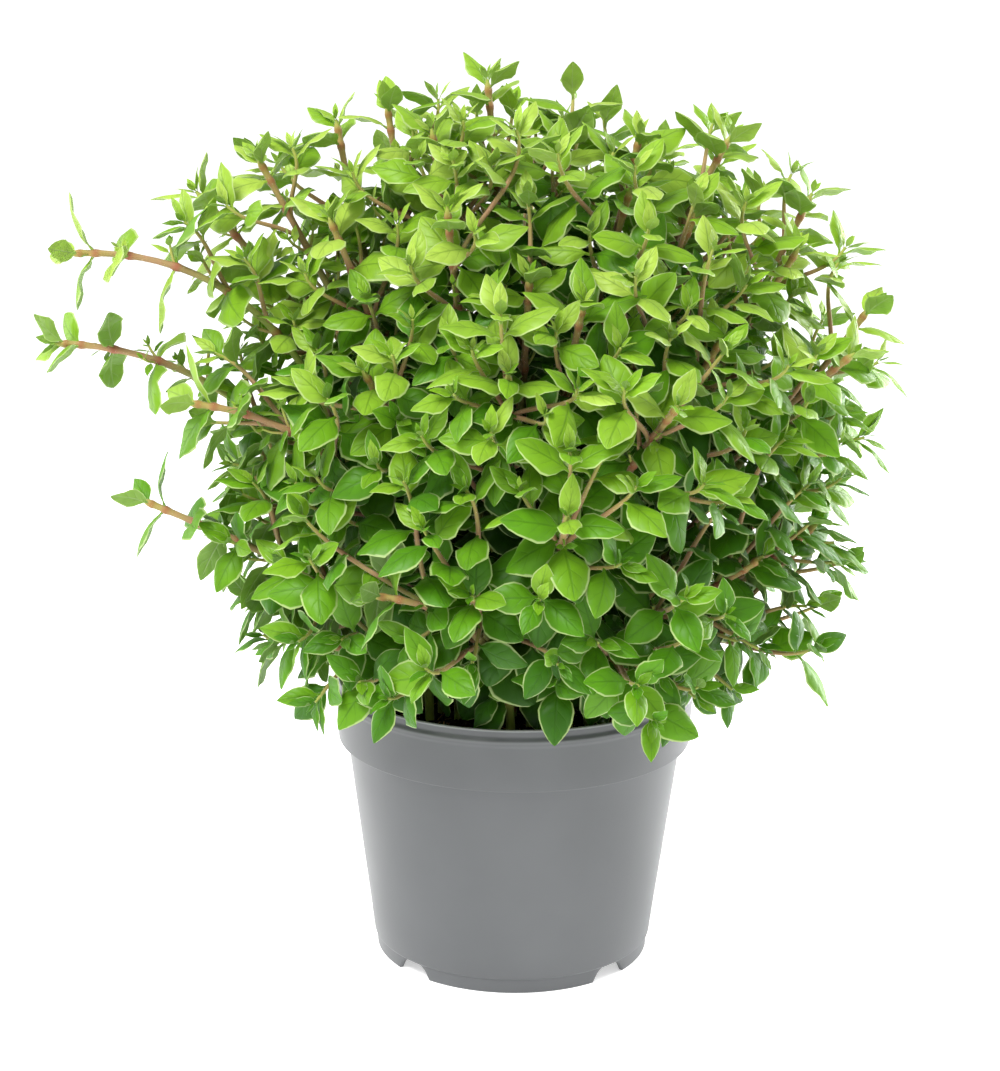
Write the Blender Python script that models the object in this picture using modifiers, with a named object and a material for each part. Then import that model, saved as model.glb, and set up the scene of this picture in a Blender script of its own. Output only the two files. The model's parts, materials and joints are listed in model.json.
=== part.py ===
"""Potted oregano: a round plastic herb pot, the soil in it, and a bush of leafy stems.

Metres, +Z up. The origin is on the pot's axis, level with the feet it stands on,
and -Y is the side that faces the viewer. Sizes are written in millimetres times MM.
"""
from math import cos, pi, radians, sin, sqrt

import bmesh
import bpy
import numpy as np
from mathutils import Matrix, Vector, noise
from mathutils.bvhtree import BVHTree
from mathutils.kdtree import KDTree

MM = 0.001
GAP = 0.3 * MM  # air between pieces that touch on the real plant

# The pot: a 12 cm round herb pot with a collar under its lip and four feet
POT_SIDES = 28
POT_HEIGHT = 96.0 * MM
LIP_RADIUS = 59.8 * MM
BEAD_RADIUS = 60.7 * MM
BEAD_HEIGHT = 92.2 * MM
COLLAR_LOW_RADIUS = 59.6 * MM
COLLAR_LOW_HEIGHT = 75.2 * MM
BODY_TOP_RADIUS = 56.6 * MM
BODY_LOW_RADIUS = 47.5 * MM
WALL = 1.3 * MM
FOOT_RADIUS = 46.8 * MM
FOOT_HEIGHT = 4.8 * MM
FOOT_WALL = 1.8 * MM
FLOOR_TOP = 6.2 * MM
PAD_RADIUS = 8.0 * MM
NOTCHES = 4
NOTCH_FIRST_ANGLE = 45.0
NOTCH_LOW_WIDTH = 14.2 * MM
NOTCH_TOP_WIDTH = 9.0 * MM
NOTCH_HEIGHT = 5.4 * MM
DRAINS = 6
DRAIN_RADIUS = 4.0 * MM
DRAIN_CIRCLE = 30.0 * MM

# The soil fills the pot to just under the lip
SOIL_TOP = 86.0 * MM
SOIL_FLAT_RADIUS = 48.5 * MM  # the stems stand inside this radius
SOIL_LUMP = 1.6 * MM
SOIL_LUMP_SIZE = 9.0 * MM
HOLE_DEPTH = 9.0 * MM

# Stems, which are square in section as on every plant of the mint family
STEM_LOW_SIDE = 3.3 * MM
STEM_TIP_SIDE = 1.9 * MM
STEM_SPACING = 5.6 * MM
CHORD_SLACK = 1.0 * MM  # how far a straight run of a stem may leave its smooth line
BASE_SPACING = 9.5 * MM
BASE_REACH = 45.0 * MM
BASE_PULL = 0.5  # a base stands this share of the way out to the start of its tip's arch
ARCH_SPAN = 45.0 * MM
LINE_POINTS = 41
LINE_ROUNDS = 45
LEAST_RISE = 14.0 * MM
END_PULL = 0.42
RIM_CLEARANCE = 8.0 * MM
RIM_START = 44.0 * MM  # from this radius outwards a stem lifts to clear the rim
RIM_RUN = 12.0 * MM
MOST_PUSH = 1.5 * MM
SEED = 11

# Leaves: the pairs of a stem, counted from the tip down. Distance below the tip,
# blade length, width over length, and lift above the square-on position in degrees.
PAIRS = [
    (3.5, 13.5, 0.50, 46),
    (8.5, 16.5, 0.58, 28),
    (19.0, 18.5, 0.66, 12),
    (34.0, 19.5, 0.74, 3),
    (52.0, 19.5, 0.78, -4),
    (72.0, 18.5, 0.80, -8),
]
BLADE = 0.76 * MM
PETIOLE_WIDTH = 1.5 * MM
PETIOLE_SHARE = 0.13
FREE_FROM = 0.22  # share of the leaf, next to the stem, that may touch its own stem
STATIONS = (0.40, 0.76)
YOUNG_STATION = 0.48
OUTLINE_SPREAD = 1.07  # the few-sided outline is this much wider, to hold the true area

# How unevenly the leaves grow, in degrees, and how they turn towards the light
TILT_SPREAD = 6.0
SWING_SPREAD = 8.0
ROLL_SPREAD = 12.0
YOUNG_RISE = 0.10
OLD_DROOP = 0.30
SKYWARD = 0.55
OUTWARD = 0.25
LEAF_TRIES = 18

# Tips of the stems that show from the front: x, y, z in mm, the lift of the tip
# in degrees, its heading in degrees or None for straight outwards, and the
# number of leaf pairs that are modelled as solids.
FRONT_STEMS = [
    # the long arms on the left
    (-141, -30, 241, -4, 182, 5),
    (-150, -10, 209, 0, 180, 5),
    (-103, -45, 197, 6, 185, 5),
    (-121, -25, 161, 22, 176, 5),
    # the upper left shoulder
    (-104, -5, 258, 48, None, 4),
    (-83, -15, 270, 62, None, 3),
    # the crown, from left to right
    (-60, 10, 280, 80, None, 3),
    (-43, 0, 286, 82, None, 3),
    (-59, -35, 254, 66, None, 4),
    (-28, -20, 280, 80, None, 3),
    (-22, -55, 260, 74, None, 4),
    (-11, 0, 294, 84, None, 3),
    (14, -12, 276, 78, None, 3),
    (38, 0, 277, 78, None, 3),
    (34, -34, 264, 70, None, 3),
    (67, 0, 277, 62, None, 3),
    (55, -30, 257, 66, None, 3),
    (79, 25, 256, 60, None, 3),
    (95, 10, 258, 66, None, 4),
    (88, -20, 244, 60, None, 3),
    # the right shoulder
    (114, 0, 222, 56, None, 4),
    (107, -22, 211, 40, None, 4),
    (99, -10, 152, 45, None, 4),
    # the upper front
    (3, -60, 240, 66, None, 3),
    (19, -72, 234, 62, None, 3),
    (45, -52, 238, 64, None, 3),
    (-3, -85, 215, 48, None, 5),
    (-47, -62, 211, 50, None, 4),
    (62, -55, 221, 58, None, 4),
    (47, -90, 207, 40, None, 5),
    # the lower front
    (15, -100, 176, 42, None, 5),
    (-44, -75, 144, 4, 178, 4),
    (-13, -88, 148, 30, None, 4),
    (78, -45, 150, 40, None, 4),
    (54, -70, 143, 30, None, 4),
    # round the rim
    (44, -75, 120, -10, None, 3),
    (82, -18, 115, 0, None, 3),
    (-64, -40, 115, -8, None, 3),
]

# The far side follows the same dome in rings: reach and height of the tips in mm,
# their lift, the headings they are spread over, and the solid leaf pairs of each.
BACK_RINGS = [
    (86, 112, 4, (40, 95, 150), 3),
    (104, 158, 30, (15, 62, 112, 158), 4),
    (96, 208, 48, (40, 88, 136), 4),
    (64, 254, 68, (50, 88, 126), 3),
]

# The taller a stem, the brighter its green
GREENS = ((0.13, 0.27, 0.03), (0.17, 0.36, 0.04), (0.25, 0.45, 0.06))
GREEN_HEIGHTS = (180 * MM, 240 * MM)


def clear_scene():
    for obj in list(bpy.data.objects):
        bpy.data.objects.remove(obj, do_unlink=True)


def new_collection(name):
    collection = bpy.data.collections.new(name)
    bpy.context.scene.collection.children.link(collection)
    return collection


def plain_material(name, colour, roughness, metallic=0.0):
    material = bpy.data.materials.new(name)
    material.use_nodes = True
    shader = material.node_tree.nodes["Principled BSDF"]
    shader.inputs["Base Color"].default_value = (*colour, 1.0)
    shader.inputs["Roughness"].default_value = roughness
    shader.inputs["Metallic"].default_value = metallic
    return material


def add_object(name, mesh, collection, material=None):
    obj = bpy.data.objects.new(name, mesh)
    collection.objects.link(obj)
    if material:
        mesh.materials.append(material)
    return obj


def applied(obj):
    """Replace an object's mesh by its evaluated one, so that no modifier is left on it."""
    graph = bpy.context.evaluated_depsgraph_get()
    mesh = bpy.data.meshes.new_from_object(obj.evaluated_get(graph))
    obj.modifiers.clear()
    obj.data = mesh
    return obj


def turned(name, profile, collection, material):
    """A solid turned about Z from a profile of (radius, height) points at +X."""
    mesh = bpy.data.meshes.new(name)
    edges = [(i, i + 1) for i in range(len(profile) - 1)]
    mesh.from_pydata([(r, 0.0, z) for r, z in profile], edges, [])
    obj = add_object(name, mesh, collection, material)
    screw = obj.modifiers.new("turn", "SCREW")
    screw.steps = POT_SIDES
    screw.render_steps = POT_SIDES
    screw.use_merge_vertices = True
    screw.merge_threshold = 0.02 * MM
    return obj


def hide_cutter(obj):
    obj.hide_render = True
    obj.display_type = "WIRE"


def cut(obj, cutter, name):
    boolean = obj.modifiers.new(name, "BOOLEAN")
    boolean.operation = "DIFFERENCE"
    boolean.solver = "EXACT"
    boolean.object = cutter


def wall_radius(z):
    """Radius of the pot body's outside at height z."""
    share = (z - FOOT_HEIGHT) / (COLLAR_LOW_HEIGHT - FOOT_HEIGHT)
    return BODY_LOW_RADIUS + share * (BODY_TOP_RADIUS - BODY_LOW_RADIUS)


def pot_profile():
    """From the floor's middle up the inside, over the lip, and down the outside."""
    inner_low = wall_radius(FLOOR_TOP) - WALL
    inner_top = LIP_RADIUS - WALL
    foot_inner = FOOT_RADIUS - FOOT_WALL
    return [
        (0.0, FLOOR_TOP),
        (inner_low, FLOOR_TOP),
        (BODY_TOP_RADIUS - WALL, COLLAR_LOW_HEIGHT + 0.5 * MM),
        (COLLAR_LOW_RADIUS - WALL, COLLAR_LOW_HEIGHT + 2.5 * MM),
        (inner_top, POT_HEIGHT),
        (LIP_RADIUS - 0.4 * MM, POT_HEIGHT),
        (LIP_RADIUS, POT_HEIGHT - 0.5 * MM),
        (LIP_RADIUS, BEAD_HEIGHT + 0.5 * MM),
        (BEAD_RADIUS, BEAD_HEIGHT),
        (BEAD_RADIUS, BEAD_HEIGHT - 1.0 * MM),
        (COLLAR_LOW_RADIUS, COLLAR_LOW_HEIGHT),
        (BODY_TOP_RADIUS, COLLAR_LOW_HEIGHT - 0.4 * MM),
        (BODY_LOW_RADIUS, FOOT_HEIGHT + 1.2 * MM),
        (BODY_LOW_RADIUS - 0.5 * MM, FOOT_HEIGHT),
        (FOOT_RADIUS, FOOT_HEIGHT - 0.3 * MM),
        (FOOT_RADIUS - 0.3 * MM, 0.0),
        (foot_inner, 0.0),
        (foot_inner - 0.4 * MM, FOOT_HEIGHT),
        (PAD_RADIUS + 0.8 * MM, FOOT_HEIGHT),
        (PAD_RADIUS, 0.0),
        (0.0, 0.0),
    ]


def notch_cutter(collection):
    """Four wedges that part the foot ring into four feet."""
    mesh = bpy.data.meshes.new("notch_cutter")
    shape = bmesh.new()
    depth = 8.0 * MM
    for i in range(NOTCHES):
        cube = bmesh.ops.create_cube(shape, size=1.0)["verts"]
        for vert in cube:
            top = vert.co.z > 0
            width = NOTCH_TOP_WIDTH if top else NOTCH_LOW_WIDTH
            height = NOTCH_HEIGHT if top else -1.0 * MM
            vert.co = Vector((FOOT_RADIUS + vert.co.x * depth, vert.co.y * width, height))
        turn = Matrix.Rotation(radians(NOTCH_FIRST_ANGLE + 360 * i / NOTCHES), 4, "Z")
        bmesh.ops.transform(shape, matrix=turn, verts=cube)
    shape.to_mesh(mesh)
    shape.free()
    cutter = add_object("notch_cutter", mesh, collection)
    hide_cutter(cutter)
    return cutter


def drain_cutter(collection):
    """The round drainage holes through the pot's floor."""
    mesh = bpy.data.meshes.new("drain_cutter")
    shape = bmesh.new()
    for i in range(DRAINS):
        angle = 2 * pi * i / DRAINS
        place = Matrix.Translation((cos(angle) * DRAIN_CIRCLE, sin(angle) * DRAIN_CIRCLE, FLOOR_TOP))
        bmesh.ops.create_cone(
            shape, cap_ends=True, segments=6, radius1=DRAIN_RADIUS,
            radius2=DRAIN_RADIUS, depth=8 * MM, matrix=place)
    shape.to_mesh(mesh)
    shape.free()
    cutter = add_object("drain_cutter", mesh, collection)
    hide_cutter(cutter)
    return cutter


def make_pot(parts, cutters):
    grey = plain_material("grey_polypropylene", (0.23, 0.235, 0.24), 0.38)
    pot = turned("pot", pot_profile(), parts, grey)
    cut(pot, notch_cutter(cutters), "feet")
    cut(pot, drain_cutter(cutters), "drains")
    return pot


def soil_profile():
    """A plug that clears the pot's wall and floor by the gap between pieces."""
    side_gap = GAP / cos(pi / POT_SIDES) + 0.3 * MM
    inner_low = wall_radius(FLOOR_TOP) - WALL
    low = FLOOR_TOP + GAP
    return [
        (0.0, SOIL_TOP),
        (SOIL_FLAT_RADIUS, SOIL_TOP),
        (COLLAR_LOW_RADIUS - WALL - side_gap, SOIL_TOP),
        (BODY_TOP_RADIUS - WALL - side_gap, COLLAR_LOW_HEIGHT + 1.0 * MM),
        (inner_low - side_gap, low),
        (0.0, low),
    ]


def soil_height(x, y):
    """The lumpy surface of the potting mix."""
    spot = Vector((x, y, 0.02)) / SOIL_LUMP_SIZE
    return SOIL_TOP + SOIL_LUMP * noise.noise(spot)


def flatten_top(mesh):
    """Join the level triangles of the soil's top into one flat face."""
    shape = bmesh.new()
    shape.from_mesh(mesh)
    bmesh.ops.dissolve_limit(
        shape, angle_limit=radians(0.1), verts=shape.verts[:], edges=shape.edges[:])
    shape.to_mesh(mesh)
    shape.free()


def make_soil(parts, cutters, stems):
    brown = plain_material("peat_potting_mix", (0.018, 0.011, 0.007), 0.95)
    soil = applied(turned("soil", soil_profile(), parts, brown))
    for vert in soil.data.vertices:
        on_top = vert.co.z > SOIL_TOP - 0.1 * MM
        if on_top and vert.co.xy.length > SOIL_FLAT_RADIUS + 1 * MM:
            vert.co.z = soil_height(vert.co.x, vert.co.y)
    flatten_top(soil.data)
    mesh = bpy.data.meshes.new("stem_holes")
    shape = bmesh.new()
    height = 20.0 * MM
    for stem in stems:
        side = STEM_LOW_SIDE + 2 * GAP
        place = Matrix.Translation((stem["base"].x, stem["base"].y, SOIL_TOP - HOLE_DEPTH + height / 2))
        turn = Matrix.Rotation(stem["twist"], 4, "Z")
        size = Matrix.Diagonal((side, side, height, 1.0))
        bmesh.ops.create_cube(shape, size=1.0, matrix=place @ turn @ size)
    shape.to_mesh(mesh)
    shape.free()
    holes = add_object("stem_holes", mesh, cutters)
    hide_cutter(holes)
    cut(soil, holes, "stem holes")
    return soil


def stem_tips():
    """Every stem's tip, the direction it ends in, and its number of solid leaf pairs."""
    rows = []
    for x, y, z, lift, heading, pairs in FRONT_STEMS:
        rows.append((Vector((x, y, z)) * MM, lift, heading, pairs))
    for reach, z, lift, headings, pairs in BACK_RINGS:
        for heading in headings:
            angle = radians(heading)
            tip = Vector((reach * cos(angle), reach * sin(angle), z)) * MM
            rows.append((tip, lift, heading, pairs))
    return rows


def stem_bases(rows):
    """Where each stem leaves the soil: under its tip, drawn in, and evenly apart."""
    bases = []
    for tip, lift, heading, _ in rows:
        ahead = flat_heading(tip.xy, heading)
        bases.append((tip.xy - ahead * cos(radians(lift)) * ARCH_SPAN) * BASE_PULL)
    bases = np.array(bases)
    for _ in range(400):
        apart = bases[:, None] - bases[None]
        far = np.linalg.norm(apart, axis=2) + np.eye(len(bases))
        push = np.clip(BASE_SPACING - far, 0, None) * (1 - np.eye(len(bases)))
        bases += 0.3 * (apart / far[..., None] * push[..., None]).sum(axis=1)
        reach = np.linalg.norm(bases, axis=1)
        bases *= np.minimum(1.0, BASE_REACH / reach)[:, None]
    return bases


def flat_heading(outward, heading):
    """A level direction: the heading in degrees, or straight outwards where there is none."""
    if heading is None:
        return outward.normalized()
    return Vector((cos(radians(heading)), sin(radians(heading))))


def bezier(p0, p1, p2, p3, count):
    t = np.linspace(0, 1, count)[:, None]
    s = 1 - t
    return s**3 * p0 + 3 * s * s * t * p1 + 3 * s * t * t * p2 + t**3 * p3


def stem_lines(rows, bases):
    """A smooth line for each stem, straight up out of the soil and out to its tip."""
    lines = []
    for (tip, lift, heading, _), base in zip(rows, bases):
        flat = flat_heading(tip.xy - Vector(base), heading) * cos(radians(lift))
        end = Vector((flat.x, flat.y, sin(radians(lift))))
        foot = Vector((base[0], base[1], SOIL_TOP))
        rise = max(0.5 * (tip.z - SOIL_TOP), LEAST_RISE)
        upward = foot + Vector((0, 0, rise))
        inward = tip - end * END_PULL * (tip - foot).length
        corners = [np.array(p) for p in (foot, upward, inward, tip)]
        lines.append(bezier(*corners, LINE_POINTS))
    return np.array(lines)


def part_lines(lines):
    """Bend the lines clear of one another and of the pot's rim, keeping their ends."""
    t = np.linspace(0, 1, LINE_POINTS)
    free = np.clip((t - 0.08) / 0.2, 0, 1) * np.clip((1.05 - t) / 0.25, 0.15, 1)
    for _ in range(LINE_ROUNDS):
        push = crowding(lines)
        for _ in range(3):
            push[:, 1:-1] = (push[:, :-2] + 2 * push[:, 1:-1] + push[:, 2:]) / 4
        step = 0.5 * push * free[None, :, None]
        lines = lines + np.clip(step, -MOST_PUSH, MOST_PUSH)
        reach = np.linalg.norm(lines[..., :2], axis=2)
        over = np.clip((reach - RIM_START) / RIM_RUN, 0, 1)
        over = over * over * (3 - 2 * over)
        floor = SOIL_TOP + over * (POT_HEIGHT + RIM_CLEARANCE - SOIL_TOP)
        lines[..., 2] = np.maximum(lines[..., 2], floor)
    return lines


def crowding(lines):
    """For each point of the lines, how far the other stems' points press it away."""
    points = lines.reshape(-1, 3)
    tree = KDTree(len(points))
    for i, point in enumerate(points):
        tree.insert(point, i)
    tree.balance()
    push = np.zeros_like(points)
    for i, point in enumerate(points):
        for other, j, far in tree.find_range(point, STEM_SPACING):
            if j // LINE_POINTS != i // LINE_POINTS:
                away = (point - np.array(other)) / max(far, 0.2 * MM)
                push[i] += away * (STEM_SPACING - far)
    return push.reshape(lines.shape)


def along(line, below_tip):
    """The point and direction on a line at a distance below its tip."""
    steps = np.linalg.norm(np.diff(line, axis=0), axis=1)
    far = np.concatenate([[0.0], np.cumsum(steps)])
    place = max(far[-1] - below_tip, 0.0)
    point = Vector([np.interp(place, far, line[:, k]) for k in range(3)])
    ahead = Vector([np.interp(min(place + 2 * MM, far[-1]), far, line[:, k]) for k in range(3)])
    behind = Vector([np.interp(max(place - 2 * MM, 0.0), far, line[:, k]) for k in range(3)])
    return point, (ahead - behind).normalized(), far[-1]


def stem_frames(stem):
    """Sections of the stem from its buried end to its tip, with a frame that doesn't twist."""
    line, length = stem["line"], stem["length"]
    nodes = [pair[0] * MM for pair in PAIRS[1 : stem["pairs"] + 1]]
    marks = [(near + far) / 2 for near, far in zip(nodes, nodes[1:])]
    lower = np.linspace(marks[-1], length, LINE_POINTS)
    marks += bend_marks(lower, np.array([along(line, mark)[0] for mark in lower]))
    places = [(0.0, *along(line, 0.0)[:2])]
    places += [(mark, *along(line, mark)[:2]) for mark in marks]
    up = Vector((0, 0, 1))
    foot = Vector(line[0])
    places.append((length, foot + up * 2.0 * MM, up))
    places.append((length, foot - up * (HOLE_DEPTH - GAP), up))
    places.reverse()
    side = Vector((cos(stem["twist"]), sin(stem["twist"]), 0))
    frames = []
    for mark, point, direction in places:
        side = (side - direction * side.dot(direction)).normalized()
        frames.append((mark, point, direction, side.copy()))
    return frames


def bend_marks(marks, points):
    """The marks where a stem needs a section to stay near its smooth line."""
    ahead = (points[-1] - points[0]) / np.linalg.norm(points[-1] - points[0])
    out = points - points[0]
    away = np.linalg.norm(out - np.outer(out @ ahead, ahead), axis=1)
    worst = int(away.argmax())
    if away[worst] < CHORD_SLACK:
        return []
    before = bend_marks(marks[: worst + 1], points[: worst + 1])
    return before + [marks[worst]] + bend_marks(marks[worst:], points[worst:])


def stem_side(stem, below_tip):
    share = min(below_tip / stem["length"], 1.0)
    return STEM_TIP_SIDE + (STEM_LOW_SIDE - STEM_TIP_SIDE) * share**0.8


def stem_solid(stem):
    """A square bar swept through the stem's frames."""
    verts, faces = [], []
    for mark, point, direction, side in stem["frames"]:
        half = stem_side(stem, mark) / 2
        across = direction.cross(side)
        for u, v in ((1, 1), (-1, 1), (-1, -1), (1, -1)):
            verts.append(point + side * half * u + across * half * v)
    rings = len(stem["frames"])
    for i in range(rings - 1):
        for k in range(4):
            a, b = 4 * i + k, 4 * i + (k + 1) % 4
            faces.append((a, b, b + 4, a + 4))
    faces.append((3, 2, 1, 0))
    top = 4 * (rings - 1)
    faces.append((top, top + 1, top + 2, top + 3))
    return verts, faces


def half_width(u, length, width):
    """Half the width of a leaf at u, 0 at its root and 1 at its tip."""
    petiole = PETIOLE_WIDTH / 2
    if u <= PETIOLE_SHARE:
        return petiole
    t = (u - PETIOLE_SHARE) / (1 - PETIOLE_SHARE)
    broad = (width / length - 0.44) / 0.36
    blade = sin(pi * t ** (0.80 - 0.08 * broad)) ** (0.95 - 0.3 * broad)
    return max(width / 2 * blade, petiole * (1 - t) ** 0.5)


def blade_point(u, v, leaf):
    """A point of the blade's middle sheet: u along, v across from -1 to 1."""
    length, width = leaf["size"], leaf["width"]
    out = half_width(u, length, width) * v if u < 1 else 0.0
    arch = leaf["arch"] * length * sin(pi * min(u, 1.0) ** 0.9)
    droop = leaf["droop"] * length * u**2.2
    cup = leaf["cup"] * abs(out) * (1 - 0.45 * u)
    return Vector((u * length, out * sqrt(max(1 - leaf["cup"] ** 2, 0.2)), arch - droop + cup))


def blade_solid(leaf, grow=0.0, root=0.0):
    """A grown leaf with two pairs of shoulders, folded along its midrib."""
    spread = OUTLINE_SPREAD + 2 * grow / leaf["width"]
    sheet = [blade_point(root, 0, leaf)]
    for u in STATIONS:
        sheet += [blade_point(u, -spread, leaf), blade_point(u, spread, leaf)]
    sheet += [blade_point(1.0, 0, leaf) + Vector((grow, 0, 0))]
    faces = [(0, 1, 5), (0, 5, 2), (1, 3, 5), (2, 5, 4)]
    return plate(sheet, faces, (0, 1, 3, 5, 4, 2), leaf, grow)


def young_blade_solid(leaf, grow=0.0, root=0.0):
    """A young leaf, with one pair of shoulders, folded along its midrib."""
    spread = OUTLINE_SPREAD + 2 * grow / leaf["width"]
    sheet = [blade_point(root, 0, leaf)]
    sheet += [blade_point(YOUNG_STATION, -spread, leaf), blade_point(YOUNG_STATION, spread, leaf)]
    sheet += [blade_point(1.0, 0, leaf) + Vector((grow, 0, 0))]
    return plate(sheet, [(0, 1, 3), (0, 3, 2)], (0, 1, 3, 2), leaf, grow)


def plate(sheet, faces, rim, leaf, grow):
    """Two like sheets a blade's thickness apart, closed round the rim and put in place."""
    half = Vector((0, 0, BLADE / 2 + grow))
    count = len(sheet)
    verts = [leaf["place"] @ (p + half) for p in sheet]
    verts += [leaf["place"] @ (p - half) for p in sheet]
    solid = list(faces)
    solid += [tuple(i + count for i in reversed(f)) for f in faces]
    solid += [(a, a + count, b + count, b) for a, b in zip(rim, rim[1:] + rim[:1])]
    return verts, solid


def leaf_solid(leaf, grow=0.0, root=0.0):
    make = blade_solid if leaf["pair"] else young_blade_solid
    return make(leaf, grow, root)


def pose_leaf(stem, pair, hand, draw, spoil):
    """A leaf on one side of the stem; spoil widens the draw and shrinks the leaf."""
    below, size, ratio, lift = PAIRS[pair]
    point, direction, _ = along(stem["line"], below * MM)
    side = stem["side_at"](below * MM, direction)
    if pair % 2 == 0:
        side = direction.cross(side)
    side = side * hand
    across = direction.cross(side)
    wide = 1 + 0.5 * spoil
    tilt = radians(lift + draw.normal(0, TILT_SPREAD) * wide)
    swing = radians(draw.normal(0, SWING_SPREAD) * wide)
    size = size * MM * (1 - 0.03 * spoil) * draw.uniform(0.9, 1.08) * stem["vigour"]
    flat = side * cos(swing) + across * sin(swing)
    age = (pair + 1) / len(PAIRS)
    ahead = (flat * cos(tilt) + direction * sin(tilt)).normalized()
    ahead = (ahead + Vector((0, 0, YOUNG_RISE - OLD_DROOP * age))).normalized()
    face = direction + Vector((0, 0, SKYWARD)) + point.xy.normalized().to_3d() * OUTWARD
    face = (face - ahead * face.dot(ahead)).normalized()
    roll = radians(draw.normal(0, ROLL_SPREAD) * wide)
    face = Matrix.Rotation(roll, 3, ahead) @ face
    turn = Matrix((ahead, face.cross(ahead), face)).transposed().to_4x4()
    root = flat * stem_side(stem, below * MM) * 0.06
    return {
        "pair": pair,
        "size": size,
        "width": size * ratio * draw.uniform(0.92, 1.08),
        "arch": draw.uniform(0.0, 0.06),
        "droop": draw.uniform(0.02, 0.16) + 0.06 * age,
        "cup": draw.uniform(0.10, 0.42) * (1 - 0.45 * age),
        "place": Matrix.Translation(point + root) @ turn,
    }


class Thicket:
    """What has been placed so far, with a search tree and a bounding ball for each piece."""

    def __init__(self):
        self.trees = []
        self.balls = []
        self.owners = []

    def add(self, verts, faces, owner):
        tree = BVHTree.FromPolygons(verts, faces)
        points = np.array(verts)
        middle = (points.min(axis=0) + points.max(axis=0)) / 2
        radius = np.linalg.norm(points - middle, axis=1).max()
        self.trees.append(tree)
        self.balls.append((*middle, radius))
        self.owners.append(owner)

    def hits(self, solid, owner, only_same=False):
        verts, faces = solid
        tree = BVHTree.FromPolygons(verts, faces)
        points = np.array(verts)
        middle = (points.min(axis=0) + points.max(axis=0)) / 2
        radius = np.linalg.norm(points - middle, axis=1).max()
        balls = np.array(self.balls)
        near = np.linalg.norm(balls[:, :3] - middle, axis=1) < balls[:, 3] + radius
        for i in np.nonzero(near)[0]:
            if (self.owners[i] == owner) != only_same:
                continue
            if tree.overlap(self.trees[i]):
                return True
        return False


def turned_solid(profile, sides=POT_SIDES):
    """A turned profile as plain vertices and faces, for the clearance tests only."""
    verts, faces = [], []
    for r, z in profile:
        for k in range(sides):
            angle = 2 * pi * k / sides
            verts.append((r * cos(angle), r * sin(angle), z))
    for i in range(len(profile) - 1):
        for k in range(sides):
            a, b = i * sides + k, i * sides + (k + 1) % sides
            faces.append((a, b, b + sides, a + sides))
    return verts, faces


def grow_stems():
    """Lay out every stem, then its leaves from the tips down, each clear of the rest."""
    rows = stem_tips()
    bases = stem_bases(rows)
    lines = part_lines(stem_lines(rows, bases))
    draw = np.random.default_rng(SEED)
    stems = []
    for i, (row, line) in enumerate(zip(rows, lines)):
        stem = {
            "name": f"leafy_stem_{i + 1:02d}",
            "line": line,
            "base": Vector(line[0]),
            "length": along(line, 0.0)[2],
            "pairs": row[3],
            "twist": draw.uniform(0, pi / 2),
            "vigour": draw.uniform(0.92, 1.06),
            "leaves": [],
        }
        stem["frames"] = stem_frames(stem)
        stem["side_at"] = side_finder(stem)
        stems.append(stem)
    thicket = Thicket()
    thicket.add(*turned_solid(pot_profile()), "pot")
    thicket.add(*turned_solid([(0.0, SOIL_TOP + SOIL_LUMP), (57 * MM, SOIL_TOP + SOIL_LUMP)]), "soil")
    for stem in stems:
        thicket.add(*stem_solid(stem), stem["name"])
    place_leaves(stems, thicket, draw)
    return stems


def side_finder(stem):
    """The direction square to the stem that its frame has nearest to a mark."""
    def find(mark, direction):
        nearest = min(stem["frames"], key=lambda frame: abs(frame[0] - mark))
        side = nearest[3]
        return (side - direction * side.dot(direction)).normalized()
    return find


def place_leaves(stems, thicket, draw):
    """Try each leaf until it is clear of what stands already; one with no room is left out."""
    for pair in range(len(PAIRS)):
        for stem in stems:
            if pair >= stem["pairs"]:
                continue
            for hand in (1, -1):
                for attempt in range(LEAF_TRIES):
                    leaf = pose_leaf(stem, pair, hand, draw, attempt / 3)
                    if fits(leaf, stem, thicket):
                        thicket.add(*leaf_solid(leaf), stem["name"])
                        stem["leaves"].append(leaf)
                        break


def fits(leaf, stem, thicket):
    """Clear of every other stem with its gap, and off its own stem past the petiole."""
    roomy = leaf_solid(leaf, grow=GAP * 1.2)
    if thicket.hits(roomy, stem["name"]):
        return False
    return not thicket.hits(leaf_solid(leaf, root=FREE_FROM), stem["name"], only_same=True)


def make_stem(stem, parts, material):
    """One node: the stem with its leaves fused on by a single Boolean union."""
    mesh = bpy.data.meshes.new(stem["name"])
    mesh.from_pydata(*swap_edges(stem_solid(stem)))
    obj = add_object(stem["name"], mesh, parts, material)
    leaves = new_collection(stem["name"] + "_leaves")
    for i, leaf in enumerate(stem["leaves"]):
        blade = bpy.data.meshes.new("leaf")
        blade.from_pydata(*swap_edges(leaf_solid(leaf)))
        add_object(f"leaf_{i}", blade, leaves)
    union = obj.modifiers.new("leaves", "BOOLEAN")
    union.operation = "UNION"
    union.solver = "EXACT"
    union.operand_type = "COLLECTION"
    union.collection = leaves
    applied(obj)
    for blade in list(leaves.objects):
        bpy.data.objects.remove(blade, do_unlink=True)
    bpy.data.collections.remove(leaves)
    return obj


def swap_edges(solid):
    verts, faces = solid
    return verts, [], faces


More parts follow.
